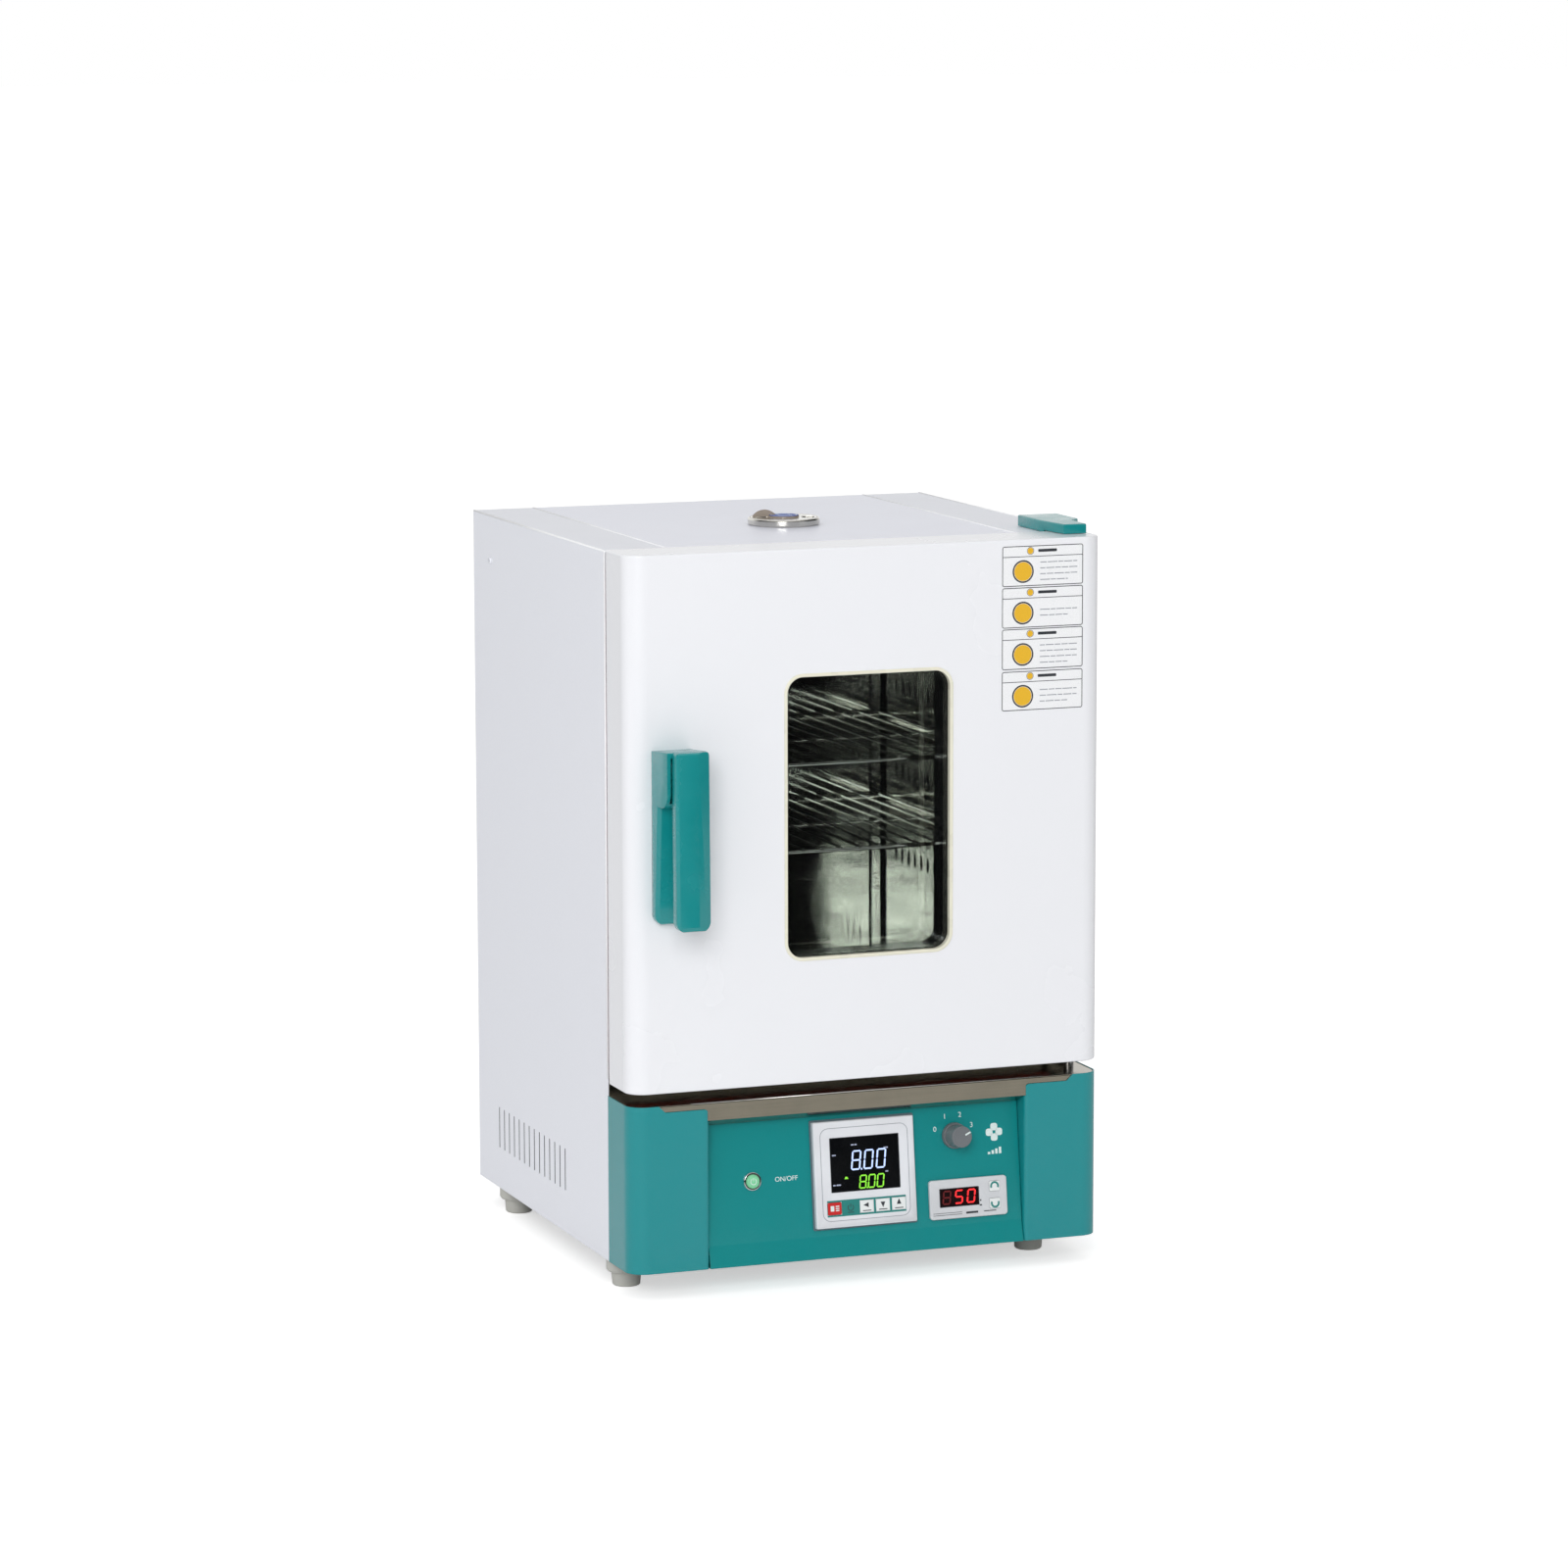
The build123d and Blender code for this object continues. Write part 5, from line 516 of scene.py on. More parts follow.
TEAL_GRIP = moulded("Teal moulding", (14, 140, 142), 0.24, coat=0.3, grain=0.0009, dust=0.03)
CREAM = moulded("Cream moulding", (236, 233, 214), 0.3, coat=0.2, dust=0.03)
DARK_TRIM = moulded("Dark gloss trim", (16, 17, 18), 0.12, depth=0.1, coat=0.4, dust=0.02)
GREY_FOOT = moulded("Grey foot moulding", (190, 190, 184), 0.5, grain=0.0008, depth=0.6, dust=0.12)
GREY_KNOB = moulded("Grey knob moulding", (112, 116, 120), 0.38, dust=0.03)
BEZEL_WHITE = moulded("Instrument moulding", (230, 232, 237), 0.34, coat=0.1, dust=0.03)
BEZEL_GREY = moulded("Limiter moulding", (212, 214, 218), 0.34, coat=0.1, dust=0.03)
KEY_WHITE = moulded("White key", (236, 240, 240), 0.35, **small_key)
KEY_RED = moulded("Red key", (206, 34, 34), 0.32, **small_key)
BLACK = moulded("Black moulding", (28, 28, 30), 0.5, dust=0.1)
SILICONE = moulded("Red silicone", (176, 52, 40), 0.5, grain=0.0012, dust=0.06)
WOOL = moulded("Fibre board", (206, 190, 140), 0.9, grain=0.002, depth=2.0, strength=0.8)
LENS = moulded("Display window", (8, 10, 13), **display_pane)
LENS_RED = moulded("Red display window", (26, 7, 10), **display_pane)
GLASS = window_glass("Window glass", (0.93, 0.96, 0.95, 1.0))

CAP_LIT = lit_ink("Lit green cap", (122, 200, 152), 0.22)
DIGIT_WHITE = lit_ink("White digits", (178, 198, 246), 0.9)
DIGIT_NOTE = lit_ink("Display notes", (150, 158, 180), 0.45)
DIGIT_GREEN = lit_ink("Green digits", (124, 206, 52), 0.85)
DIGIT_RED = lit_ink("Red digits", (236, 40, 44), 1.1)
# Painted glow: the unlit segments give off faint light, standing in for the light they only reflect.
DIGIT_DIM_GLOW = lit_ink("Unlit red digits with painted glow", (96, 12, 16), 0.25)
INK_WHITE = printed_ink("White print", (226, 240, 238))
INK_DARK = printed_ink("Dark print", (52, 56, 62))
INK_TEAL = printed_ink("Teal print", (30, 132, 126))
INK_AMBER = printed_ink("Amber print", (236, 184, 34))
INK_GREY = printed_ink("Grey print", (150, 154, 162))
# Grey for the painted shade round the controller's bezel.
INK_BEZEL_SHADE = printed_ink("Grey bezel shade", (92, 112, 120))
LABEL_WHITE = printed_ink("Label film", (244, 245, 247), 0.35)
LABEL_BLUE = printed_ink("Blue label film", (52, 74, 168), 0.55, shine=0.12)

node_finish = {
    "side_panel_left": SLOTTED_SIDE, "side_panel_right": SLOTTED_SIDE, "roof_panel": ROOF_WHITE,
    "back_panel": SIDE_WHITE, "rear_cover": SIDE_WHITE, "cabinet_screws": SIDE_WHITE,
    "base_pan": GALVANISED, "catch_box": GALVANISED, "feet": GREY_FOOT, "front_frame": FRAME_STEEL,
    "cheek_left": TEAL_SIDE, "cheek_right": TEAL_SIDE, "control_panel": TEAL_PANEL,
    "chamber_liner": MIRROR, "side_ducts": MIRROR, "rear_baffle": MIRROR, "door_inner_panel": MIRROR,
    "cabinet_insulation": WOOL, "door_insulation": WOOL, "shelf_rails": LEDGE,
    "shelf_upper": WIRE, "shelf_lower": WIRE,
    "heater_element": STEEL, "temperature_probes": STEEL, "fan_shaft": STEEL, "hinge_brackets": STEEL,
    "handle_pin": STEEL, "latch_tongue": STEEL, "hinge_bushes": BRASS,
    "fan_motor": ALUMINIUM, "fan_wheel": ALUMINIUM,
    "power_inlet": BLACK, "solid_state_relay": BLACK, "terminal_block": BLACK, "wiring_loom": BLACK,
    "selector_switch": BLACK, "selector_knob": GREY_KNOB,
    "hinge_cap": TEAL_GRIP, "handle_base": TEAL_GRIP, "handle_lever": TEAL_GRIP,
    "vent_flange": VENT_BRIGHT, "vent_damper": VENT_BRIGHT,
    "door_shell": DOOR_WHITE, "window_trim": CREAM, "window_panes": GLASS, "window_reveal": DARK_TRIM,
    "door_gasket": SILICONE,
    "controller_case": BEZEL_WHITE, "controller_display": LENS,
    "limiter_case": BEZEL_GREY, "limiter_display": LENS_RED,
    "power_button_ring": CHROME, "power_button_cap": CAP_LIT,
    "key_set": KEY_RED, "key_shift": KEY_WHITE, "key_down": KEY_WHITE, "key_up": KEY_WHITE,
    "limiter_key_up": KEY_WHITE, "limiter_key_down": KEY_WHITE,
}
for node_name, finish in node_finish.items():
    shown = nodes[node_name]
    shown.data.materials.clear()
    shown.data.materials.append(finish)


# Outlines

def ray(turn):
    """A direction in the plane: the cosine and sine of an angle in radians."""
    return np.array([math.cos(turn), math.sin(turn)])


def rays(turns):
    """Directions in the plane for an array of angles: cosine beside sine."""
    return np.stack([np.cos(turns), np.sin(turns)], axis=-1)


def rounded_loop(centre, size, corner, steps=6):
    """A rounded rectangle: each corner's centre plus its radius times cosine and sine over a quarter turn."""
    half = np.array(size) / 2 - corner
    signs = np.array([(1, 1), (-1, 1), (-1, -1), (1, -1)], float)
    turns = np.linspace(0, math.pi / 2, steps)[None, :] + (np.arange(4) * math.pi / 2)[:, None]
    return (np.array(centre) + (signs * half)[:, None, :] + rays(turns) * corner).reshape(-1, 2)


def round_loop(centre, radius, steps):
    """A circle: centre plus radius times cosine and sine."""
    return np.array(centre) + radius * rays(np.arange(steps) * 2 * math.pi / steps)


def ring_loops(centre, outer, inner, steps):
    """Outer and inner outlines of a flat ring."""
    return round_loop(centre, outer, steps), round_loop(centre, inner, steps)


def bar_loop(low, high):
    """A plain rectangle between two corners, anticlockwise."""
    return np.array([(low[0], low[1]), (high[0], low[1]), (high[0], high[1]), (low[0], high[1])], float)


def bar_at(middle, low, high):
    """A plain rectangle between two corners that are given from a middle."""
    return bar_loop((middle[0] + low[0], middle[1] + low[1]), (middle[0] + high[0], middle[1] + high[1]))


def sized_bar(corner, size):
    """A plain rectangle from its low corner and its size."""
    return bar_loop(corner, (corner[0] + size[0], corner[1] + size[1]))


def frame_ring(centre, size, corner, width):
    """Outer and inner outlines of a narrow rounded frame."""
    inner = (size[0] - 2 * width, size[1] - 2 * width)
    return rounded_loop(centre, size, corner), rounded_loop(centre, inner, max(corner - width, 0.0002))


def arrow_loop(centre, size, turn):
    """A solid arrow head: a triangle about its middle, its back two points 2.2 radians round from its tip."""
    reach = np.array([size, size * 0.8, size * 0.8])
    return np.array(centre) + rays(math.radians(turn) + np.array([0, 2.2, -2.2])) * reach[:, None]


def open_arc(centre, radius, width, start, sweep):
    """A curved band: two arcs of the same sweep in degrees, the inner one taken backwards."""
    arc = rays(np.radians(np.linspace(start, start + sweep, 22)))
    return np.array(centre) + np.concatenate([arc * (radius + width / 2), arc[::-1] * (radius - width / 2)])


def standby_sign(spot, foot, tip):
    """An open ring with a short upright bar between two heights above its middle."""
    return [open_arc(spot, 0.0027, 0.0006, 125, 290), bar_at(spot, (-0.0003, foot), (0.0003, tip))]


def middle_of(node):
    """The middle of a node's box across and along."""
    low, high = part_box(node)
    return (low[0] + high[0]) / 2, (low[1] + high[1]) / 2


# Surfaces that print is laid on

def panel_at(height):
    """The panel's plane raised by a height: across along X, rise along the plane, lift along its normal."""
    def laid(points, lift):
        flat = np.asarray(points)
        base = np.array([0.0, FOLD_Y, FOLD_Z])
        across = flat[:, :1] * np.array([1.0, 0, 0])
        return base + across + flat[:, 1:] * PANEL_UP + (height + lift) * PANEL_OUT
    return laid


on_panel = panel_at(0.0)
on_bezel = panel_at(BEZEL_FACE)
on_bezel_rim = panel_at(BEZEL_FACE - RIM_FOOT)
on_display = panel_at(BEZEL_FACE - WINDOW_DEPTH)
on_key = panel_at(BEZEL_FACE + CONTROLLER_KEY)
on_limiter = panel_at(LIMITER_FACE)
on_limiter_rim = panel_at(LIMITER_FACE - RIM_FOOT)
on_limiter_display = panel_at(LIMITER_FACE - WINDOW_DEPTH)
on_limiter_key = panel_at(LIMITER_FACE + LIMITER_KEY)
on_cap = panel_at(CAP_FACE)
on_knob = panel_at(KNOB_SLOT)


def on_door(points, lift):
    """Door face: across along X, height along Z, lift towards the front."""
    flat = np.asarray(points)
    return np.stack([flat[:, 0], np.full(len(flat), FACE - lift), flat[:, 1]], axis=1)


def on_roof(points, lift):
    """A level plane at the damper cap's top."""
    flat = np.asarray(points)
    return np.stack([flat[:, 0], flat[:, 1], np.full(len(flat), CAP_TOP + lift)], axis=1)


# Piece building

def show(name, mesh, finish, body):
    """A mesh shown as an object of its own finish, riding on a body."""
    mesh.materials.clear()
    mesh.materials.append(finish)
    made = bpy.data.objects.new(name, mesh)
    bpy.context.scene.collection.objects.link(made)
    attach(made, body)
    return made


def piece_from(name, points, faces, finish, body, smooth=False):
    """A mesh piece from a point array and lists of point numbers, riding on a body."""
    mesh = bpy.data.meshes.new(name)
    mesh.from_pydata(np.asarray(points, float).tolist(), [], faces)
    mesh.polygons.foreach_set("use_smooth", np.full(len(mesh.polygons), smooth))
    mesh.update()
    return show(name, mesh, finish, body)


def inlay(name, shapes, place, lift, finish, body):
    """Thin raised print: each outline, or pair of outer and inner outlines, is laid on a surface by
    place(points, lift) and given walls from its foot to its top, so that every shape is a closed shell."""
    points, faces, start = [], [], 0
    for shape in shapes:
        loops = shape if isinstance(shape, tuple) else (shape,)
        count = len(loops[0])
        ring = np.arange(count)
        after = (ring + 1) % count
        points.extend(place(loop, level) for loop in loops for level in (lift, 0.0))
        top, foot = start + ring, start + count + ring
        faces += np.stack([foot, foot[after], top[after], top], axis=1).tolist()
        if len(loops) == 1:
            faces += [top.tolist(), foot[::-1].tolist()]
        else:
            in_top, in_foot = start + 2 * count + ring, start + 3 * count + ring
            faces += np.stack([in_top, in_top[after], in_foot[after], in_foot], axis=1).tolist()
            faces += np.stack([top, top[after], in_top[after], in_top], axis=1).tolist()
            faces += np.stack([foot[after], foot, in_foot, in_foot[after]], axis=1).tolist()
        start += count * 2 * len(loops)
    return piece_from(name, np.concatenate(points), faces, finish, body)


def lettering(name, text, centre, height, place, lift, finish, body):
    """Plain generic lettering: the font's outline made a mesh, scaled to its height and laid on a surface."""
    curve = bpy.data.curves.new(name, "FONT")
    curve.body = text
    curve.size = 1.0
    curve.align_x, curve.align_y = "CENTER", "CENTER"
    curve.extrude = 0.0
    holder = bpy.data.objects.new(name + "_outline", curve)
    bpy.context.scene.collection.objects.link(holder)
    bpy.context.view_layer.update()
    flat = bpy.data.meshes.new_from_object(holder.evaluated_get(bpy.context.evaluated_depsgraph_get()))
    bpy.data.objects.remove(holder)
    shape = bmesh.new()
    shape.from_mesh(flat)
    bmesh.ops.remove_doubles(shape, verts=shape.verts, dist=1e-5)
    grown = bmesh.ops.extrude_face_region(shape, geom=shape.faces[:])
    raised = {part for part in grown["geom"] if isinstance(part, bmesh.types.BMVert)}
    for vert in shape.verts:
        vert.co.z = 1.0 if vert in raised else 0.0
    bmesh.ops.recalc_face_normals(shape, faces=shape.faces)
    shape.to_mesh(flat)
    shape.free()
    coords = np.empty(len(flat.vertices) * 3)
    flat.vertices.foreach_get("co", coords)
    coords = coords.reshape(-1, 3)
    plan = coords[:, :2] * height / 0.7 + np.array(centre)
    laid = np.where(coords[:, 2:] > 0.5, place(plan, lift), place(plan, 0.0))
    flat.vertices.foreach_set("co", laid.ravel())
    flat.update()
    return show(name, flat, finish, body)


def softened(node, body, width):
    """A part with its sharp edges rolled over: its own faces joined up and flattened, then a small bevel."""
    shape = bmesh.new()
    shape.from_mesh(nodes[node].data)
    bmesh.ops.remove_doubles(shape, verts=shape.verts, dist=2e-6)
    bmesh.ops.dissolve_limit(shape, angle_limit=math.radians(0.6), verts=shape.verts, edges=shape.edges)
    mesh = bpy.data.meshes.new(node + "_finished")
    shape.to_mesh(mesh)
    shape.free()
    mesh.polygons.foreach_set("use_smooth", np.full(len(mesh.polygons), True))
    made = show(node + "_finished", mesh, node_finish[node], body)
    rolled = made.modifiers.new("Rolled edges", "BEVEL")
    rolled.width = width
    rolled.segments = 3
    rolled.limit_method = "ANGLE"
    rolled.angle_limit = math.radians(28.0)
    rolled.use_clamp_overlap = True
    rolled.harden_normals = True
    rolled.miter_outer = "MITER_ARC"
    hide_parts(node)
    return made


def bead(name, runs, radius, finish, body):
    """Rounded rod along sheet edges, used for painted highlight lines: for each run, a six-sided rod with
    closed ends, each ring its centre plus the radius times cosine and sine across the run."""
    points, faces, start = [], [], 0
    turns = np.arange(6) * math.pi / 3
    ring = np.arange(6)
    after = (ring + 1) % 6
    for first, last in runs:
        first, last = np.array(first, float), np.array(last, float)
        along = (last - first) / np.linalg.norm(last - first)
        side = np.cross(along, (0.0, 0.0, 1.0) if abs(along[2]) < 0.9 else (1.0, 0.0, 0.0))
        side /= np.linalg.norm(side)
        up = np.cross(side, along)
        circle = radius * (np.cos(turns)[:, None] * side + np.sin(turns)[:, None] * up)
        points += [first + circle, last + circle]
        near, far = start + ring, start + 6 + ring
        faces += np.stack([near, near[after], far[after], far], axis=1).tolist()
        faces += [near[::-1].tolist(), far.tolist()]
        start += 12
    made = piece_from(name, np.concatenate(points), faces, finish, body, smooth=True)
    shape = bmesh.new()
    shape.from_mesh(made.data)
    bmesh.ops.recalc_face_normals(shape, faces=shape.faces)
    shape.to_mesh(made.data)
    shape.free()
    return made


# Digits

DIGIT_SLANT = 0.12
BAR_ENDS = {
    "a": ((0, 2), (1, 2)), "b": ((1, 1), (1, 2)), "c": ((1, 0), (1, 1)), "d": ((0, 0), (1, 0)),
    "e": ((0, 0), (0, 1)), "f": ((0, 1), (0, 2)), "g": ((0, 1), (1, 1)),
}
LIT_BARS = {"8": "abcdefg", "0": "abcdef", "5": "acdfg"}


def digit_bars(lit, corner, size, thick):
    """Seven-bar digit: each bar is a six-sided stick between two of the digit's six corners, and its points
    move across by the slant times their height."""
    wide, high = size
    shapes = []
    for bar in lit:
        start, end = (np.array(tip) * (wide, high / 2) for tip in BAR_ENDS[bar])
        along = (end - start) / np.linalg.norm(end - start)
        side = np.array([-along[1], along[0]]) * thick / 2
        start, end = start + along * thick * 0.6, end - along * thick * 0.6
        point = along * thick * 0.45
        tips = np.array([start - point, start - side, end - side, end + point, end + side, start + side])
        tips[:, 0] += tips[:, 1] * DIGIT_SLANT
        shapes.append(tips + np.array(corner))
    return shapes


def number(text, corner, size, thick, pitch):
    """A row of seven-bar digits with square points between them."""
    shapes, x = [], corner[0]
    for mark in text:
        if mark == ".":
            spot = (x - pitch + size[0] + thick * 0.9, corner[1] - thick / 2)
            shapes.append(sized_bar(spot, (thick, thick)))
        else:
            shapes += digit_bars(LIT_BARS[mark], (x, corner[1]), size, thick)
            x += pitch
    return shapes


# Controller and limiter

DISPLAY_NOTES = (
    (-0.0125, 0.0165, 0.0026), (-0.0092, 0.0165, 0.0022), (0.0187, 0.0118, 0.004), (-0.031, 0.0082, 0.0036),
    (-0.031, -0.0186, 0.0022), (-0.0279, -0.0186, 0.0042), (0.0195, -0.0095, 0.0026),
)
NOTE_HEIGHT = 0.0012
DISPLAY_FLAG = ((-0.0199, -0.0131), (-0.0164, -0.0131), (-0.017, -0.0114), (-0.0189, -0.0109))
LIMITER_DIGIT = (0.0067, 0.0113)
LIMITER_NOTES = (
    (0, 0, 0.0278, 0.0004), (0, 0.0018, 0.0278, 0.0004), (0.0318, 0, 0.0115, 0.0018),
    (0.0492, 0.0006, 0.0118, 0.0008), (0.0452, 0.0062, 0.0022, 0.0012), (0.0456, 0.0104, 0.0014, 0.0014),
)
LIMITER_NOTES_CORNER = (LIMITER[0] - 0.0348, 0.0098)
SET_KEY_BARS = (
    ((-0.004, -0.0022), (-0.0006, 0.0026)), ((0.0008, 0.0016), (0.0042, 0.0026)),
    ((0.0008, -0.0004), (0.0042, 0.0006)), ((0.0008, -0.0022), (0.0042, -0.0012)),
)


def build_controller_marks():
    """Thin grey ring round the bezel, painted shade at its foot, a thin grey line, painted shade in the
    groove round the raised inner panel, and the lit numbers behind the window.
    """
    # Painted shade: a grey ring on the panel at the bezel's foot.
    bezel_shade = frame_ring(CONTROLLER, (0.0996, 0.0986), 0.0016, 0.0016)
    inlay("controller_bezel_shade", [bezel_shade], on_panel, 0.0012, INK_BEZEL_SHADE, "cabinet")
    # Painted shade: a grey line in the groove round the bezel's inner panel.
    groove_shade = frame_ring(CONTROLLER, (0.0842, 0.0835), 0.0075, 0.0005)
    inlay("controller_groove_shade", [groove_shade], on_bezel_rim, 0.00035, INK_GREY, "cabinet")
    edge = frame_ring(DISPLAY, (0.0664, 0.049), 0.0006, 0.0006)
    inlay("controller_window_edge", [edge], on_bezel_rim, 0.0004, INK_DARK, "cabinet")
    left, middle = DISPLAY
    upper = number("8.00", (left - 0.0128, middle - 0.005), (0.0076, 0.0163), 0.0014, 0.0119)
    inlay("upper_number", upper, on_display, GLOW, DIGIT_WHITE, "cabinet")
    lower = number("8.00", (left - 0.0059, middle - 0.0222), (0.0058, 0.0112), 0.0012, 0.0084)
    inlay("lower_number", lower, on_display, GLOW, DIGIT_GREEN, "cabinet")
    notes = [sized_bar((left + x, middle + z), (wide, NOTE_HEIGHT)) for x, z, wide in DISPLAY_NOTES]
    inlay("display_notes", notes, on_display, GLOW, DIGIT_NOTE, "cabinet")
    inlay("display_flag", [np.array(DISPLAY_FLAG) + DISPLAY], on_display, GLOW, DIGIT_GREEN, "cabinet")


def build_key_strip():
    """Teal printed band behind the controller's keys: a bar above and one below them and a bar in each space
    between two keys, with a small dark dial sign in the widest space."""
    low, high = KEY_RISE - STRIP_HALF[1], KEY_RISE + STRIP_HALF[1]
    key_low, key_high = KEY_RISE - KEY_HALF, KEY_RISE + KEY_HALF
    walls = [DISPLAY[0] - STRIP_HALF[0]]
    for key in ("key_set", "key_shift", "key_down", "key_up"):
        low_corner, high_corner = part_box(key)
        walls += [low_corner[0] - KEY_GAP, high_corner[0] + KEY_GAP]
    walls.append(DISPLAY[0] + STRIP_HALF[0])
    bars = [bar_loop((walls[0], foot), (walls[-1], top)) for foot, top in ((low, key_low), (key_high, high))]
    bars += [bar_loop((walls[k], key_low), (walls[k + 1], key_high)) for k in range(0, len(walls), 2)]
    inlay("key_strip", bars, on_bezel, PRINT, INK_TEAL, "cabinet")
    spot = ((walls[2] + walls[3]) / 2, KEY_RISE)
    sign = standby_sign(spot, 0.0004, 0.0036) + [bar_at(spot, (-0.003, -0.0046), (0.003, -0.004))]
    inlay("key_strip_sign", sign, on_bezel, 2 * PRINT, INK_DARK, "cabinet")


def build_limiter_marks():
    """Red digits, their unlit neighbour, and the printed lines round the window."""
    left, foot = LIMITER_WINDOW[0], LIMITER_WINDOW[1] - 0.0055
    lit = number("50", (left - 0.0041, foot), LIMITER_DIGIT, 0.0014, 0.0118)
    inlay("limiter_number", lit, on_limiter_display, GLOW, DIGIT_RED, "cabinet")
    # The unlit digit glows faintly: painted light.
    unlit = digit_bars(LIT_BARS["8"], (left - 0.0159, foot), LIMITER_DIGIT, 0.0014)
    inlay("limiter_unlit_digit", unlit, on_limiter_display, 0.0002, DIGIT_DIM_GLOW, "cabinet")
    edge = frame_ring(LIMITER_WINDOW, (0.0384, 0.0169), 0.0006, 0.0005)
    inlay("limiter_window_edge", [edge], on_limiter_rim, 0.0004, INK_DARK, "cabinet")
    x_start, z_start = LIMITER_NOTES_CORNER
    notes = [sized_bar((x_start + x, z_start + z), (wide, high)) for x, z, wide, high in LIMITER_NOTES]
    inlay("limiter_notes", notes, on_limiter, 0.00015, INK_DARK, "cabinet")


def build_key_marks():
    """Printed arrows on the white keys, plain bars on the red one, and hooked arcs on the limiter's keys."""
    for node, body, turn in (
        ("key_shift", "shift_key", 180), ("key_down", "down_key", 270), ("key_up", "up_key", 90),
    ):
        x = middle_of(node)[0]
        marks = [arrow_loop((x, KEY_RISE + 0.0012), 0.0034, turn)]
        marks.append(bar_at((x, KEY_RISE), (-0.004, -0.0042), (0.004, -0.0034)))
        inlay(node + "_arrow", marks, on_key, PRINT, INK_DARK, body)
    spot = (middle_of("key_set")[0], KEY_RISE)
    inlay("key_set_mark", [bar_at(spot, *bar) for bar in SET_KEY_BARS], on_key, PRINT, INK_WHITE, "set_key")
    for node, body, rise, start in (
        ("limiter_key_up", "limiter_up_key", 0.0327, -25),
        ("limiter_key_down", "limiter_down_key", 0.0172, 155),
    ):
        band = open_arc((LIMITER_KEYS_X, rise), 0.0034, 0.0017, start, 230)
        inlay(node + "_arc", [band], on_limiter_key, PRINT, INK_TEAL, body)


# Knob, fan sign and button

KNOB_MARKS = (("0", 160), ("1", 115), ("2", 70), ("3", 25))
KNOB_MARK_RADIUS = 0.0193
POINTER_TURN = 25
POINTER_REACH = (0.0036, 0.0092)
POINTER_HALF = 0.0007


def build_panel_marks():
    """Numbers round the speed knob, a four-leaf fan mark over rising steps, and ON/OFF beside the button."""
    for mark, turn in KNOB_MARKS:
        spot = KNOB + KNOB_MARK_RADIUS * ray(math.radians(turn))
        lettering("speed_mark_" + mark, mark, spot, 0.0046, on_panel, PRINT, INK_WHITE, "cabinet")
    leaves = [rounded_loop(FAN_SIGN + 0.0047 * ray(turn), (0.0066, 0.0066), 0.0022, 5)
              for turn in np.arange(4) * math.pi / 2]
    inlay("fan_mark", leaves, on_panel, PRINT, INK_WHITE, "cabinet")
    steps = [bar_loop((0.1203 + 0.0036 * k, 0.0612), (0.1226 + 0.0036 * k, 0.0632 + 0.0013 * k))
             for k in range(4)]
    inlay("speed_steps", steps, on_panel, PRINT, INK_WHITE, "cabinet")
    lettering("power_words", "ON/OFF", (-0.0745, 0.0545), 0.0042, on_panel, PRINT, INK_WHITE, "cabinet")


def build_pointer():
    """White line in the knob's face, along the pointer's slot."""
    along = ray(math.radians(POINTER_TURN))
    side = np.array([-along[1], along[0]]) * POINTER_HALF
    start, end = KNOB + along * POINTER_REACH[0], KNOB + along * POINTER_REACH[1]
    line = np.array([start - side, end - side, end + side, start + side])
    inlay("knob_pointer", [line], on_knob, 0.00045, INK_WHITE, "knob")


def build_button_mark():
    """Standby sign on the lit cap: an open ring and a short upright bar."""
    inlay("standby_mark", standby_sign(BUTTON, 0.0006, 0.0034), on_cap, 0.0001, INK_WHITE, "power_cap")


# Blank labels on the door

LABEL_SIDES = (0.1264, 0.2052)
LABEL_ROWS = ((0.6193, 0.656, 4), (0.5822, 0.6189, 2), (0.5449, 0.582, 4), (0.508, 0.544, 3))
LABEL_MARGIN = 0.0008
HEADER_DROP = 0.0097
HEADER_MIDDLE = 0.005
HEADER_DOT_X = 0.0275
HEADER_BAR_X = 0.044
CELL_DOT_X = 0.0205
WORDS_X = (0.037, 0.006)
LINE_PITCH = 0.0052
WORD_WIDTHS = (0.0062, 0.0094, 0.0048, 0.0078, 0.0055)
WORD_HALF = 0.0004
WORD_GAP = 0.0009
SHORT_LINE = 0.009


def word_bars(start, end, z, first):
    """Blank words on a line: short bars of the listed widths with gaps between them, up to its end."""
    bars, x, turn = [], start, first
    while x < end:
        wide = min(WORD_WIDTHS[turn % len(WORD_WIDTHS)], end - x)
        bars.append(bar_loop((x, z - WORD_HALF), (x + wide, z + WORD_HALF)))
        x, turn = x + wide + WORD_GAP, turn + 1
    return bars


